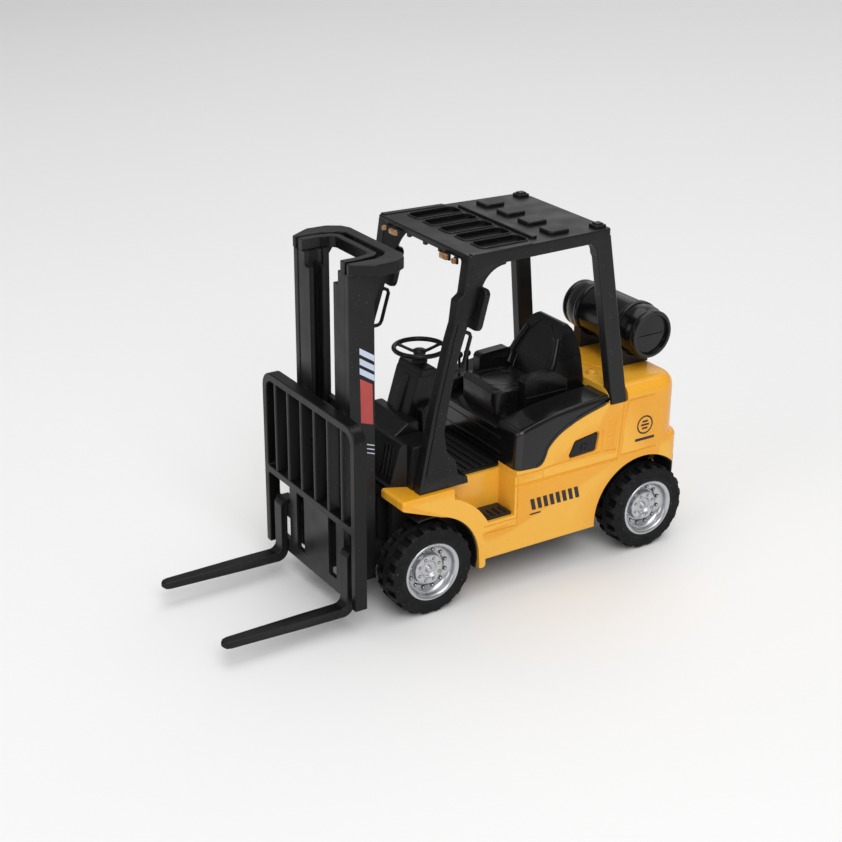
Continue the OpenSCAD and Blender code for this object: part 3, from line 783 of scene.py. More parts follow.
def body_shell():
    outline = ([(NOSE_X, LIP_Z), (NOSE_X, NOSE_Z), (-14.6, NOSE_Z), (-15, FLOOR_Z), (DECK_FRONT, FLOOR_Z)]
               + DECK_CURVE
               + [(-64.05, HOOD_Z), (-REAR_X, HOOD_Z), (-REAR_X, TAIL_Z), (-70, TAIL_Z), (-61, SILL_Z),
                  (-19.4, SILL_Z), (-19.4, 10.4), (-18.8, 9.8), (-17.3, 9.8), (-ARCH_R, 14)]
               + arc(0, TYRE_R, ARCH_R, 180, 102, 24))
    body = fuse(round_top(HOOD_X, CORNER_R, HOOD_Z, 4.5), round_top(REAR_X, 6, BUMPER_Z, 1.4))
    common(body, across(outline, BODY_HW + 1))
    left, right = both(step_recess)
    cut(body, right, left)
    cut(body, *both(rear_arch_space))
    cut(body, *both(wheel_disc, ARCH_R, WELL_IN, BODY_HW + 1))
    round_edges(body, 0.9, lambda m: abs(m.z - NOSE_Z) < 0.1 and m.x > -14 and (abs(m.y) > 22 or m.x > 9.5))
    soften(body, 0.5, 3, 30)
    notch = prism(mirrored([(12, 13.8), (NOSE_X, 13.8), (2.9, 17.1)]), "z", 30, 40)
    cut(body, notch, slab(5, 12, 15.6, 30, FLOOR_Z - 1.8), slab(-8, 6, 9, 30, 40),
        slab(-31, -7.2, CAB_HW + 0.1, FLOOR_Z, 40), *both(box, (-71.4, 21.7, 52.55), (-64.2, 30, 60)))
    cut(body, inner_space())
    for path, width, depth in GROOVES:
        groove(body, path, width, depth)
    # outlined vents down the slanted strip behind the inset
    for i in range(5):
        vent = oblong(-65.4 + i * 0.22, 46.6 - i * 1.75, 2.1, 1.15, 0.25)
        cut(body, *both(tube, [(x, BODY_HW + 0.14, z) for x, z in vent], 0.26, 10, True))
    groove(body, *VENT_GROOVE)
    cut(body, *both(prism, INSET_FRAME, "y", BODY_HW - 0.45, BODY_HW + 1))
    # hood lid
    lid = [(x, y, HOOD_Z + 0.16) for x, y in ((-90, 11.5), (-79, 11.6), (-73.4, 8.4), (-71.9, 5))]
    cut(body, tube(mirrored(lid), 0.36, 12))
    bump = [(0, 1.1), (1.0, 1.0), (1.7, 0.6), (2.1, 0), (2.1, -0.6), (0, -0.6)]
    return join(body, lathe(bump, (-68.4, 11.2, HOOD_Z), "z", 40))


def side_inset():
    face = BODY_HW - 0.05
    plate = soften(prism(INSET, "y", BODY_HW - 0.6, face), 0.15, 2)
    ring = [(0, 0.1), (0.55, 0.1), (0.7, 0.3), (1.15, 0.34), (1.4, 0.16), (1.45, -0.2), (0, -0.2)]
    return join(plate, lathe(ring, (-55.2, face, 40.7), "y", 40))


def printed(outline, y=BODY_HW):
    """A flat mark on a left-hand face at y."""
    return prism(outline, "y", y, y + PRINT_T)


def stripes():
    """A plain slanted-stripe panel where the photographed truck has lettering."""
    low, high = 24.4, 28.2
    bars = []
    for i in range(8):
        x = -36.2 - i * 2.35
        bars.append(printed([(x, low), (x - 1.45, low), (x - 0.55, high), (x + 0.9, high)]))
    return join(*bars, printed(oblong(-37.4, 23.1, 4, 0.5, 0.1)))


def round_mark():
    """A plain ring with three bars where the truck has a printed sign."""
    x, z = -78.6, 43
    ring = cut(printed(disc(x, z, 3.1)), prism(disc(x, z, 2.6), "y", BODY_HW - 1, BODY_HW + 1))
    bars = [printed(oblong(x, z + rise, width, 0.62, 0.15))
            for rise, width in ((1.15, 2.2), (0, 3.2), (-1.15, 2.2))]
    return join(ring, printed(oblong(-78.8, 38.3, 7.6, 0.9, 0.2)), *bars)


put(wheel_wells(), "wheel_well_linings")
put(body_shell(), "body_shell_paint", "body_shell", YELLOW, sharp=35)
for side, flip in SIDES:
    put(flip(side_inset()), f"side_inset_{side}_plate", f"side_inset_{side}")
    put(flip(stripes()), f"side_stripes_{side}", None, PRINT_BLACK, flat=False)
    put(flip(round_mark()), f"rear_mark_{side}", None, PRINT_BLACK, flat=False)


def step_tread():
    low, high = STEP_Z + 0.05, STEP_Z + 0.9
    back = STEP_BACK + 0.4
    base = prism([(STEP_FRONT, low), (STEP_FRONT, high), (back, high), (back, low)],
                 "y", STEP_Y + 0.05, BODY_HW - 1.2)
    cut(base, wheel_disc(FENDER_R + 0.3, 10, 30))
    ribs = [soften(prism(oblong(-27.9 + i * 2.2, high, 1.15, 1.1, 0.5, 6), "y", 20.3, BODY_HW - 1.4), 0.2, 2)
            for i in range(4)]
    return join(base, *ribs)


def seat_deck():
    low = [(x, z + 0.05) for x, z in DECK_CURVE if -64 < x < DECK_FRONT]
    outline = DECK_TOP + arc(-31.6, 49.6, 1.6, 80, 0, 6) + [(DECK_FRONT, 38.7)] + low + [(-64, 53.45)]
    deck = across(outline, BODY_HW)
    plan = rounded([(-70, -BODY_HW, 0), (-70, BODY_HW, 0), (DECK_FRONT, BODY_HW, 2.6),
                    (DECK_FRONT, -BODY_HW, 2.6)], 0, 8)
    common(deck, prism(plan, "z", 30, 60))
    round_edges(deck, 1.5, lambda m: m.z > 50.3 and m.x > -63.9 and (abs(m.y) > 22 or m.x > -31.8))
    soften(deck, 0.22, 2, 35)
    cut(deck, across([(-63.95, 30), (-63.95, 51), (-31.6, 45.6), (-31.6, 30)], BODY_HW - 2))
    floor = [(x, z - PAN_DEPTH) for x, z in DECK_TOP]
    pan = across([(-29, floor[-1][1] - 0.8)] + floor[::-1] + [(-64.5, floor[0][1]), (-64.5, 62), (-29, 62)],
                 15.4)
    cut(deck, soften(pan, 0.5))
    foot = soften(slab(-30.9, -30.05, CAB_HW - 0.1, FLOOR_Z + 0.05, 39.5), 0.1, 2)
    bead = channel([(x + 0.2, z + 0.75) for x, z in DECK_CURVE if -63.4 < x < -31], 0.95)
    beads = both(lambda: soften(prism(bead, "y", BODY_HW - 0.4, BODY_HW + 0.22), 0.2, 2))
    # raised lines on the front face
    lines = [soften(slab(-30.3, -29.75, 17, z, z + 0.6), 0.15, 2) for z in (41.4, 46.2)]
    return join(deck, foot, *beads, *lines)


SEAT_FOOT = deck_top(-34) - PAN_DEPTH - 0.8
CUSHION_HW = 10.3
BACK_HW = 13
# seams on the left of the cushion and of the back
CUSHION_SEAMS = ([(-35, 1.8, 57.6), (-38.5, 4.6, 57.5), (-43.5, 5.4, 57.3), (-49, 3.6, 57.1)],
                 [(-34, 5.4, 57), (-37, 7.9, 57.5), (-42.5, 8.3, 57.3), (-49, 7.6, 57.1)])
BACK_SEAM = [(-51, 6.6, 57.2), (-53.6, 7.6, 61.6), (-55.9, 6.9, 66.5), (-57.5, 5.2, 70), (-58.6, 2.6, 72.4)]


def seam(path, side, r):
    return tube(spline([(x, side * y, z) for x, y, z in path], 6), r, 12)


def seat_cushion():
    cushion = across([(-33.9, SEAT_FOOT), (-33, 54.6), (-33.2, 56.9), (-36, 57.5), (-44, 57.1), (-54, 56.8),
                      (-54, SEAT_FOOT)], CUSHION_HW)
    plan = rounded([(-54, -CUSHION_HW, 0), (-32.8, -CUSHION_HW, 4.2), (-32.8, CUSHION_HW, 4.2),
                    (-54, CUSHION_HW, 0)], 0, 8)
    common(cushion, prism(plan, "z", 40, 60))
    soften(cushion, 0.7, 4)
    for side in (-1, 1):
        for path in CUSHION_SEAMS:
            cut(cushion, seam(path, side, 0.26))
    return cushion


def seat_back():
    """A tapering slab."""
    back = across([(-50.6, SEAT_FOOT), (-51, 57), (-53.8, 62), (-58.2, 71.4), (-58.9, 73), (-60.2, 73.8),
                   (-61.4, 73.6), (-62.4, 72.2), (-63.6, 66), (-63.6, SEAT_FOOT)], BACK_HW)
    face = rounded([(-12.6, 40, 0), (12.6, 40, 0), (BACK_HW, 58, 3), (11.6, 64, 6), (8.9, 71.2, 2.2),
                    (6.6, 73.9, 2), (-6.6, 73.9, 2), (-8.9, 71.2, 2.2), (-11.6, 64, 6),
                    (-BACK_HW, 58, 3)], 0, 8)
    common(back, prism(face, "x", -70, -45))
    soften(back, 0.75, 4)
    for side in (-1, 1):
        cut(back, seam(BACK_SEAM, side, 0.28))
    return back


def seat_wing():
    """A raised bead along one edge of the back."""
    path = [(-51.2, 9.6, 57.6), (-53.3, 10.3, 61), (-55.4, 9.2, 65.4), (-57.3, 7.6, 69.4)]
    return tube(spline(path, 5), 0.95)


def seat_arm():
    outline = rounded([(-41, SEAT_FOOT, 0), (-40.9, 61.8, 1.5), (-51.6, 62.3, 1.6), (-57, 58.6, 1.2),
                       (-57, SEAT_FOOT, 0)], 0, 6)
    arm = prism(outline, "y", 10.5, 14)
    cut(arm, tube([(-41.5, 14.12, 55.8), (-56.5, 14.12, 55.8)], 0.3, 12))
    return soften(arm, 0.65, 4)


def seat():
    return join(seat_cushion(), seat_back(), *both(seat_wing), *both(seat_arm))


for side, flip in SIDES:
    put(flip(step_tread()), f"step_tread_{side}_ribs", f"step_tread_{side}")
put(seat_deck(), "seat_deck_moulding", "seat_deck", GLOSS, sharp=38)
put(seat(), "seat_cushioned", "seat", SEAT, sharp=50)


# ---------- cab ----------
DASH_TOP = 52       # top of the dash cowl's lower block
DASH_HW = 20.3


def cab_floor():
    mat = soften(slab(-29.9, -7.4, CAB_HW, FLOOR_Z, FLOOR_Z + 0.8), 0.15, 2)
    ribs = [soften(slab(-28.6 + i * 2.6, -27.3 + i * 2.6, CAB_HW - 1, FLOOR_Z + 0.5, FLOOR_Z + 1.4), 0.3, 2)
            for i in range(8)]
    return join(mat, *ribs)


def dash_rib(y):
    """An upright rib in the hollow beside the mast."""
    outline = [(7.1, NOSE_Z + 1), (4.9, 50.4), (2.6, 50.4), (4, NOSE_Z + 1)]
    return soften(prism(outline, "y", y, y + 0.9), 0.2, 2)


def dash_cowl():
    lower = soften(across([(7.4, NOSE_Z), (4.7, 51.2), (3.8, DASH_TOP), (-5.6, DASH_TOP), (-6.6, NOSE_Z)],
                          DASH_HW), 0.5)
    hollow = [(8, NOSE_Z + 2), (5.6, 50), (3.6, 50), (6, NOSE_Z + 2)]
    cut(lower, *both(prism, [(12, 13.8), (12, 30), (2.9, 30), (2.9, 17.1), (8, 14.5)], "z", 30, 60),
        *both(prism, hollow, "y", 8.4, 14))
    ribs = [rib for i in range(3) for rib in both(dash_rib, 8.9 + i * 1.9)]
    foot = prism(mirrored([(8.4, 14.35), (2.95, 17.05)]), "z", 34, NOSE_Z + 0.5)
    plug = across([(5.9, 34), (5.5, 40), (-6.6, 40), (-7.1, 34)], 8.9)
    column = across([(-2.4, 50), (-7.9, 66.9), (-9.3, 68.4), (-14.2, 68.4), (-12.6, 58), (-7, 50)], 6.2)
    cut(column, *[prism([(8, s * 4.6), (8, s * 9), (-20, s * 9), (-20, s * 6.4), (-9, s * 6.4)], "z", 45, 72)
                  for s in (-1, 1)])
    soften(column, 0.55)
    flare = soften(across([(-5.4, 50), (-7, 56.6), (-9, 58.6), (-13, 58.6), (-13, 50)], 9.1), 0.6)
    spine = soften(across([(-1.7, 51), (-7.4, 66.4), (-8.6, 66.4), (-3, 51)], 1.6), 0.35)
    brow = soften(across([(-8.1, 66.6), (-9, 69), (-13.6, 69), (-13.4, 66.8)], 6.6), 0.5)
    shoulder = soften(across([(3.9, 51.6), (-1.5, 55.2), (-5.4, 55.2), (-5.4, 51.6)], 10.5), 0.7)
    return join(lower, foot, *ribs, plug, column, flare, spine, brow, shoulder)


def steering_shaft():
    axis = (COLUMN_X, 0, 0)
    return join(lathe([(0, 60.2), (1.4, 60.2), (1.4, 70.7), (0, 70.7)], axis, "z", 32),
                lathe([(0, 69), (2.4, 69), (2.4, 69.5), (1.9, 70.1), (1.4, 70.6), (0, 70.6)], axis, "z", 40))


def steering_wheel():
    grip = [(7.65 + 0.72 * math.cos(a), WHEEL_Z + 0.72 * math.sin(a))
            for a in np.linspace(0, math.tau, 16, False)]
    hub = [(0, -2.5), (1.5, -2.5), (1.9, -1.6), (2.0, -0.9), (1.8, -0.5), (1.0, -0.25), (0, -0.2)]
    parts = [lathe(grip, (COLUMN_X, 0, 0), "z", closed=True), lathe(hub, (COLUMN_X, 0, WHEEL_Z), "z", 48)]
    # place along a spoke, height, half width and half thickness
    spoke = ((1.2, -1.35, 1.0, 0.45), (3, -1.2, 0.8, 0.36), (5.5, -0.6, 0.72, 0.34), (7.5, -0.1, 0.9, 0.4))
    for turn in (60, 180, 300):
        rings = [[(r, w * math.cos(a), z + t * math.sin(a)) for a in np.linspace(0, math.tau, 14, False)]
                 for r, z, w, t in spoke]
        place = Matrix.Translation((COLUMN_X, 0, WHEEL_Z)) @ Matrix.Rotation(math.radians(turn), 4, "Z")
        parts.append(moved(loft(rings), place))
    return join(*parts)


def direction_lever():
    stalk = soften(prism(oblong(0, 54.4, 2.7, 8.6, 1.3, 8), "x", -0.65, 0.65), 0.4)
    cut(stalk, *[prism(oblong(0, 54.4, 1.4, 6.4, 0.7, 8), "x", x, x + 0.65) for x in (0.35, -1)])
    foot = soften(box((-0.7, -1.2, 49.4), (1.1, 1.2, 50.8)), 0.2, 2)
    return shifted(join(stalk, foot), -6.9, 9.4, 0)


def control_levers():
    base = across([(-4.4, deck_top(-41.4) - 2.4), (4.6, deck_top(-32.4) - 2.4), (4.6, 53.4), (-4.4, 54.4)],
                  1.5)
    knob = [(0, 0), (0.48, 0), (0.42, 4), (0.42, 7.6)] + arc(0, 9, 1.15, -62, 88, 10) + [(0, 10.15)]
    sticks = [lathe(knob, (x, 0, 51.8), "z", 24) for x in (-3, 0, 3)]
    return shifted(join(soften(base, 0.35), *sticks), -37, -16, 0)


put(cab_floor(), "cab_floor_ribbed", "cab_floor_mat")
put(dash_cowl(), "dash_cowl_moulding", "dash_cowl")
put(steering_shaft(), "steering_shaft_turned", "steering_shaft", body="steering")
put(steering_wheel(), "steering_wheel_moulding", "steering_wheel", body="steering", sharp=60, flat=False)
put(direction_lever(), "direction_lever_stalk", "direction_lever", flat=False)
put(control_levers(), "control_levers_knobs", "control_levers", flat=False)


# ---------- overhead guard ----------
GUARD_SIDE = ([(3, NOSE_Z), (2.5, 41.4), (-1.9, 64.5), (-4.5, 74.7), (-6.8, 84.3), (-8.3, 88.8), (-9.1, 95.4),
               (-11.1, 96.8), (-12.6, 107.2), (ROOF_FRONT, ROOF_Z - 0.2), (-25.6, ROOF_Z - 0.6)]
              + arc(-25.6, 95, 8.6, 90, 20, 14)
              + [(-12.9, 87.7), (-9, 75.6), (-7, 65.5), (-5.4, 56.3), (-6.4, 50), (-9.4, 47), (-10.2, 42.4),
                 (-13.6, 40.6), (-14, NOSE_Z)])
ROOF = Matrix.Translation((ROOF_FRONT, 0, ROOF_Z)) @ Matrix.Rotation(-ROOF_LEAN, 4, "Y")
SLOT_X = -15        # middle of the roof slots behind the roof's front edge
SLOT_LENGTH = 15.9
SLOT_WIDTH = 6.3
SLOT_PITCH = 8.45


def guard_leg():
    leg = soften(prism(GUARD_SIDE, "y", LEG_OUT - GUARD_T, LEG_OUT), 0.6, 3, 24)
    line = channel([(0.9, 44), (-3.1, 64.3), (-5.7, 74.5), (-8, 83.8), (-9.4, 88.6)], 0.4)
    return cut(leg, prism(line, "y", LEG_OUT - 0.2, LEG_OUT + 1))


def rear_post():
    """A post whose foot stands on the hood and whose head leans forward and inward under the roof."""
    foot = rounded([(-71, 21.9), (-65.2, 21.9), (-65.2, BODY_HW), (-71, BODY_HW)], 0.7)
    head = rounded([(-64.2, ROOF_HW_REAR - 3.8), (-58.6, ROOF_HW_REAR - 3.8), (-58.6, ROOF_HW_REAR),
                    (-64.2, ROOF_HW_REAR)], 0.7)
    return loft([[(x, y, 52.6) for x, y in foot], [(x, y, 105.5) for x, y in head]])


def rear_fillet():
    outline = [(-60, 105), (-55, 105)] + arc(-55, 100.2, 4.1, 90, 180, 10) + [(-60, 98.4)]
    return prism(outline, "y", ROOF_HW_REAR - 3.4, ROOF_HW_REAR - 0.15)


def roof_pad(outline, high, width, segments=3):
    return soften(prism(outline, "z", -1, high), width, segments)


def roof():
    outline = rounded([(0.4, -ROOF_HW_FRONT), (0.4, ROOF_HW_FRONT), (-51.2, ROOF_HW_REAR),
                       (-51.2, -ROOF_HW_REAR)], 1.2)
    plate = prism(outline, "z", -3.8, 0)
    cut(plate, prism([(2, -20.2), (2, 20.2), (-49, 18.4), (-49, -18.4)], "z", -8, -2))
    soften(plate, 0.45)
    slots = [i * SLOT_PITCH for i in range(-2, 3)]
    cut(plate, *[prism(oblong(SLOT_X, y, SLOT_LENGTH, SLOT_WIDTH, 1.7, 8), "z", -1.0, 3) for y in slots])
    parts = [plate]
    for slot_y in slots:
        rim_path = oblong(SLOT_X, slot_y, SLOT_LENGTH + 0.5, SLOT_WIDTH + 0.5, 1.9, 8)
        parts.append(tube([(x, y, 0.0) for x, y in rim_path], 0.34, 10, closed=True))
    parts.append(roof_pad(oblong(-25.6, 0, 2.4, 39, 1.1, 6), 0.75, 0.35))
    for i in (-1.5, -0.5, 0.5, 1.5):
        parts.append(roof_pad(oblong(-34.7, i * 10.9, 7.4, 6.6, 1.5, 6), 1.05, 0.5, 4))
    for s in (-1, 1):
        parts.append(roof_pad(oblong(-48.3, s * 19.3, 4, 3.8, 0.5), 0.9, 0.3))
        parts.append(roof_pad(oblong(-48.3, s * 19.3, 2.6, 2.4, 0.4), 1.35, 0.25))
        edge = [(-0.6, s * 24.75), (-0.6, s * 22.6), (-22, s * 21.7), (-22, s * 23.75)]
        parts.append(roof_pad(edge, 0.3, 0.25))
    # small clips under the front edge
    for y in (-7.5, 1.2, 9.2):
        parts.append(soften(box((-0.6, y - 0.7, -2.7), (0.5, y + 0.7, -1.4)), 0.2, 2))
    return moved(join(*parts), ROOF)


def overhead_guard():
    return join(roof(), *both(guard_leg), *both(rear_post), *both(rear_fillet))


LAMPS = ((13.6, 2, 1), (18.7, 0.85, 1))      # middle, half width and half height
LAMP_TOP = 106.5
LAMP_BACK = -12.4


def lamp_boxes(back, front, inset, width, segments):
    """One box per lamp, smaller than its housing by inset."""
    return join(*[soften(box((back, y - w + inset, LAMP_TOP - 2 * h + inset),
                             (front, y + w - inset, LAMP_TOP - inset)), width, segments)
                  for y, w, h in LAMPS])


def mirror():
    shell = soften(prism(oblong(0, 0, 8, 12.4, 1.9, 8), "x", -0.9, 0.9), 0.4)
    cut(shell, prism(oblong(0, 0, 6.6, 11, 1.4, 8), "x", -2, -0.65))
    arm = soften(box((0.6, -1.2, -0.9), (4.6, 0.7, 0.9)), 0.3, 2)
    turn = Matrix.Rotation(math.radians(-15), 4, "Y")
    return shifted(moved(join(shell, arm), turn), -16.4, 22.9, 92)


def grab_handle():
    path = [(-7.6, 85), (-13.4, 85), (-14.5, 84.4), (-14.9, 83.4), (-12.4, 74.8), (-11.8, 73.9),
            (-10.9, 73.6), (-6.6, 73.6)]
    return tube([(x, 22.4, z) for x, z in path], 0.58, 12)


put(overhead_guard(), "overhead_guard_frame", "overhead_guard")
put(join(*both(lamp_boxes, LAMP_BACK, LAMP_BACK + 0.7, 0, 0.15, 2)), "roof_lamp_housings_boxes",
    "roof_lamp_housings")
put(join(*both(lamp_boxes, LAMP_BACK + 0.6, LAMP_BACK + 1.8, 0.2, 0.35, 3)), "roof_lamp_lenses_domed",
    "roof_lamp_lenses", LENS, flat=False)
for side, flip in SIDES:
    put(flip(mirror()), f"mirror_{side}_shell", f"mirror_{side}")
    put(flip(grab_handle()), f"grab_handle_{side}_bar", f"grab_handle_{side}", flat=False)


# ---------- gas tank ----------
def gas_tank():
    end = [(0, TANK_HL - 1.0), (6.1, TANK_HL - 1.2), (6.3, TANK_HL - 0.5), (6.5, TANK_HL - 0.1),
           (6.9, TANK_HL), (7.35, TANK_HL - 0.1), (7.65, TANK_HL - 0.5), (7.7, TANK_HL - 1.4),
           (7.4, TANK_HL - 1.9), (7.4, TANK_HL - 2.3), (7.85, TANK_HL - 3.1), (TANK_R - 0.08, TANK_HL - 4),
           (TANK_R, TANK_HL - 5)]
    tank = lathe(end + [(r, -h) for r, h in reversed(end)], TANK, "y", 128)
    slot = oblong(TANK[0], TANK[2], 9.4, 0.7, 0.3)
    left, right = both(prism, slot, "y", TANK_HL - 1.35, TANK_HL + 1)
    cut(tank, right)
    return cut(tank, left)


def tank_strap():
    band = [(TANK_R + 0.02, 9.2), (TANK_R + 0.35, 9.25), (TANK_R + 0.5, 9.5), (TANK_R + 0.5, 10.9),
            (TANK_R + 0.35, 11.15), (TANK_R + 0.02, 11.2)]
    return lathe(band, TANK, "y", 128, closed=True)


put(gas_tank(), "gas_tank_vessel", "gas_tank", GLOSS, flat=False)
put(join(*both(tank_strap)), "gas_tank_straps_bands", "gas_tank_straps", GLOSS, flat=False)


# ---------- mast ----------
PIVOT = (8.4, 17)
RAIL_LOW = 10.5     # lower ends of the rails of both masts


def yoke(outer, inner, low, n, width):
    """The bent top of a mast: a plate open to the front, from the right halves of its outlines."""
    plate = prism(rounded(mirrored(outer), 0, n), "z", low, MAST_TOP)
    cut(plate, prism(rounded(mirrored(inner), 0, n), "z", YOKE_Z - 1, MAST_TOP + 1))
    return soften(plate, width)


def outer_rail():
    rail = [(RAIL_BACK, MAST_HW), (MAST_FRONT, MAST_HW), (MAST_FRONT, RAIL_IN), (19.2, RAIL_IN), (19.2, 14.4),
            (15.8, 14.4), (15.8, RAIL_IN), (14.9, RAIL_IN), (14.9, 9.4), (RAIL_BACK, 9.4)]
    return soften(prism(rail, "z", RAIL_LOW, YOKE_Z + 0.2), 0.3, 2)


def gusset():
    back, low = RAIL_BACK + 0.4, YOKE_Z + 0.4
    return soften(prism([(back, low), (8, low), (10.4, 102.4), (back, 95.5)], "y", 13.6, MAST_HW), 0.3, 2)


def pivot_ear():
    back = RAIL_BACK + 0.2
    ear = fuse(prism([(back, 12.5), (back, 22), (PIVOT[0], 20), (PIVOT[0], 14)], "y", 10.2, 13),
               prism(disc(*PIVOT, 3), "y", 10.2, 13))
    return cut(ear, prism(disc(*PIVOT, 1.36), "y", 5, 20))


def mast_outer():
    top = yoke([(MAST_FRONT, -16, 0.4), (14.5, -20, 2.5), (8, -19.8, 3), (4.2, -17.4, 2), (2.8, -14.4, 2)],
               [(MAST_FRONT + 1, -14.6, 0), (12, -14.6, 1), (8.4, -13, 1.5), (6.6, -11, 1.5)], YOKE_Z, 6, 0.6)
    cross = [soften(slab(RAIL_BACK, 14.9, 10, low, high), 0.25, 2) for low, high in ((12, 19), (52, 61))]
    return join(*both(outer_rail), top, *both(gusset), *cross, *both(pivot_ear))


def inner_rail():
    rail = [(INNER_BACK, 13.2), (16, 13.2), (16, 14.3), (19, 14.3), (19, 13.2), (20.8, 13.2),
            (20.8, INNER_IN), (19.4, INNER_IN), (19.4, 9.8), (16.6, 9.8), (16.6, INNER_IN),
            (INNER_BACK, INNER_IN)]
    shape = cut(prism(rail, "z", RAIL_LOW, YOKE_Z + 0.2), box((10, 5, 101.6), (25, 9.4, 130)))
    return soften(shape, 0.25, 2)


def mast_inner():
    top = yoke([(20.8, -13.2, 0.3), (15.6, -13.2, 1), (11, -12.4, 1.4), (8.7, -10.3, 1.4)],
               [(22, -10.8, 0), (15, -10.8, 1), (12.2, -10, 1), (11, -8.6, 1)], YOKE_Z + 0.1, 5, 0.5)
    foot = soften(slab(INNER_BACK, 16.4, 7.4, 12, 17), 0.2, 2)
    return join(*both(inner_rail), top, foot)


def mast_print(outlines):
    """Flat printed shapes on the outer side of the left rail, from (x, z) outlines."""
    return join(*[printed(outline, MAST_HW) for outline in outlines])


WHITE_BARS = [[(17.7, z), (12.95, z - 3.1), (12.95, z - 4.95), (17.7, z - 1.85)] for z in (84.2, 81.2, 78.3)]
WHITE_BARS += [[(15.5, z), (13, z - 0.9), (13, z - 1.2), (15.5, z - 0.3)] for z in (54.6, 53.3, 52)]
RED_BAR = [(17.6, 75), (13.6, 72.5), (13.4, 60.2), (17.4, 61.5)]
put(mast_print(WHITE_BARS), "mast_white_bars", None, PRINT_WHITE, "mast", flat=False)
put(mast_print([RED_BAR]), "mast_red_bar", None, PRINT_RED, "mast", flat=False)
put(mast_outer(), "mast_outer_rails", "mast_outer", body="mast")
put(mast_inner(), "mast_inner_rails", "mast_inner", body="lift_mast")


# ---------- carriage and forks ----------
BARS = 6
BAR_PITCH = 7.9
RAILS_Z = (7.4, 19.4)   # undersides of the two rails that the forks hang on
RAIL_H = 4.6
PLATE_HW = 16.4
FACE_HW = 25        # half width inside the backrest frame
REST_X = 26.5
HOOK_Z = RAILS_Z[1] + RAIL_H + 0.1


def frame_hole(low, high, r):
    """An opening in the backrest frame, whose upper corners have radius r."""
    outline = [(-FACE_HW, low, 0.8), (FACE_HW, low, 0.8), (FACE_HW, high, r), (-FACE_HW, high, r)]
    return prism(rounded(outline, 0, 8), "x", PLATE_X - 1, REST_X + 1)


def carriage_guide():
    """The bracket that runs in the inner mast."""
    return join(box((17, 4.6, 12.6), (PLATE_X + 0.2, 6.6, 31)),
                *[box((16.9, 6.4, low), (19.1, 9.6, low + 5.4)) for low in (12.6, 25.6)])


def carriage():
    outline = rounded([(-REST_HW, 8.4, 0.6), (REST_HW, 8.4, 0.6), (REST_HW, REST_TOP, 5),
                       (-REST_HW, REST_TOP, 5)], 0, 10)
    rest = prism(outline, "x", PLATE_X, REST_X)
    cut(rest, frame_hole(34.8, REST_TOP - 2.4, 3), frame_hole(0, 32.4, 0.8))
    parts = [soften(rest, 0.95, 5)]
    for i in range(1, BARS + 1):
        y = (i - (BARS + 1) / 2) * BAR_PITCH
        bar = box((PLATE_X, y - 0.62, 33.5), (REST_X - 0.1, y + 0.62, REST_TOP - 1.6))
        parts.append(soften(bar, 0.4))
    plate = slab(PLATE_X, FACE_X, PLATE_HW, RAILS_Z[0], 33.2)
    fuse(plate, *[slab(PLATE_X, FACE_X - 0.01, 25.4, z, z + RAIL_H) for z in RAILS_Z])
    cut(plate, *[prism(oblong(s * 9.7, 21.1, 4.6, 19.4, 0.7), "x", 20, 30) for s in (-1, 1)])
    return join(*parts, soften(plate, 0.25), *both(carriage_guide))


def fork():
    back = FACE_X + 0.1
    hook = [(back, HOOK_Z + 1.2), (21.3, HOOK_Z + 1.2), (21.3, HOOK_Z - 1.7), (22.5, HOOK_Z - 1.7),
            (22.5, HOOK_Z), (back, HOOK_Z)]
    tip = [(FORK_TIP - 1, 5.4), (FORK_TIP, 6), (FORK_TIP, 7.1), (FORK_TIP - 1, FORK_TOP)]
    side = (hook + arc(27.6, 8.2, 3.5, 180, 270, 10) + tip + arc(28.6, FORK_TOP + 2.3, 2.3, 270, 180, 8)
            + [(26.3, HOOK_Z - 0.4), (25.6, HOOK_Z + 0.9)])
    plan = mirrored([(20, 2.25), (40, 2.25), (FORK_TIP - 2.4, 1.8), (FORK_TIP - 1, 1.4),
                     (FORK_TIP - 0.3, 0.8), (FORK_TIP, 0.3)])
    blade = common(across(side, 2.25), prism(plan, "z", 0, 40))
    return shifted(soften(blade, 0.5), 0, FORK_Y, 0)


put(carriage(), "carriage_backrest", "carriage", body="load_carriage")
for side, flip in SIDES:
    put(flip(fork()), f"fork_{side}_blade", f"fork_{side}", body=f"{side}_fork")


# ---------- carried-over CAD pieces ----------
CARRIED = {
    SATIN: ["chassis_base", "gas_tank_cradle"],
    STEEL: ["front_axle", "rear_axle", "mast_pivot_pin", "base_screws"],
}
for finish, names in CARRIED.items():
    for node_name in names:
        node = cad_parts[node_name]
        node.data.materials.clear()
        node.data.materials.append(finish)


# ---------- studio ----------
AZIMUTH = math.radians(57.49)
ELEVATION = math.radians(23.387)
ROLL = math.radians(0.375)
DISTANCE = 512.85 * MM
LENS_MM = 71.64
LOOK_AT = Vector((-20, 0, 40))
OFF_AXIS = (-6.112, 7.237)    # the aim point's offset along the picture's right and up, in millimetres


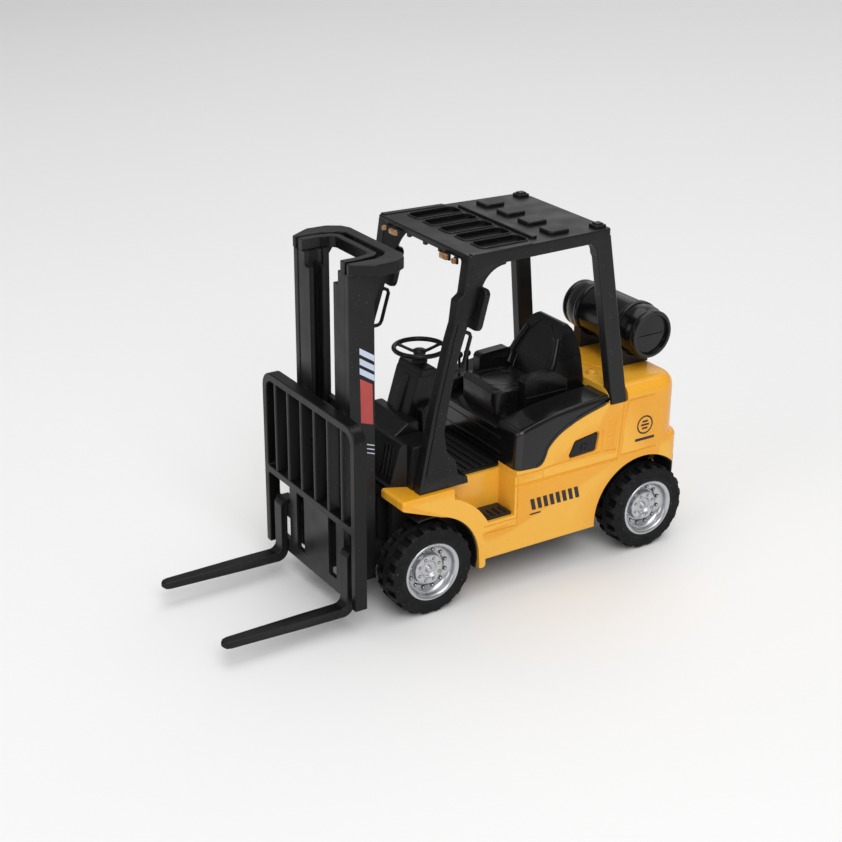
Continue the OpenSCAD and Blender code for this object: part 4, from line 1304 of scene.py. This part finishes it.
def aim_camera():
    back = Vector((math.cos(ELEVATION) * math.cos(AZIMUTH), math.cos(ELEVATION) * math.sin(AZIMUTH),
                   math.sin(ELEVATION)))
    right0 = Vector((-math.sin(AZIMUTH), math.cos(AZIMUTH), 0))
    up0 = back.cross(right0)
    right = right0 * math.cos(ROLL) + up0 * math.sin(ROLL)
    up = up0 * math.cos(ROLL) - right0 * math.sin(ROLL)
    aim = TO_ROW @ (LOOK_AT + right * OFF_AXIS[0] + up * OFF_AXIS[1])
    data = bpy.data.cameras.new("camera")
    data.lens = LENS_MM
    data.sensor_width = 36
    data.clip_start = 0.01
    camera = bpy.data.objects.new("camera", data)
    bpy.context.scene.collection.objects.link(camera)
    turn = Matrix((right, up, back)).transposed().to_4x4()
    camera.matrix_world = Matrix.Translation(aim + back * DISTANCE) @ turn
    bpy.context.scene.camera = camera


def lamp(name, place, target, size, power):
    data = bpy.data.lights.new(name, "AREA")
    data.shape = "RECTANGLE"
    data.size, data.size_y = size
    data.energy = power
    light = bpy.data.objects.new(name, data)
    bpy.context.scene.collection.objects.link(light)
    light.location = place
    light.rotation_euler = (Vector(place) - Vector(target)).to_track_quat("Z", "Y").to_euler()


def studio():
    world = bpy.data.worlds.new("studio")
    bpy.context.scene.world = world
    world.use_nodes = True
    background = world.node_tree.nodes["Background"]
    background.inputs["Color"].default_value = (1, 1, 1, 1)
    background.inputs["Strength"].default_value = 0.27
    bpy.context.scene.view_settings.view_transform = "Standard"
    target = (-0.01, 0, 0.045)
    lamp("key", (0.35, 1.05, 1.15), target, (1.0, 1.0), 12.5)
    lamp("front", (1.4, 0.2, 0.55), target, (0.9, 0.7), 4.5)
    lamp("top", (-0.2, -0.1, 1.6), target, (1.6, 1.6), 13)
    lamp("back", (-1.2, -0.9, 0.9), target, (1.2, 1.2), 2.5)
    floor = slab(-3, 3, 3, -0.02, 0)
    floor.name = "floor"
    m = Nodes("floor_paper")
    m.set("Base Color", m.blend(m.noise(3), (0.86, 0.86, 0.86), (0.9, 0.9, 0.9)))
    m.set("Roughness", 0.75)
    floor.data.materials.append(m.material)


aim_camera()
studio()
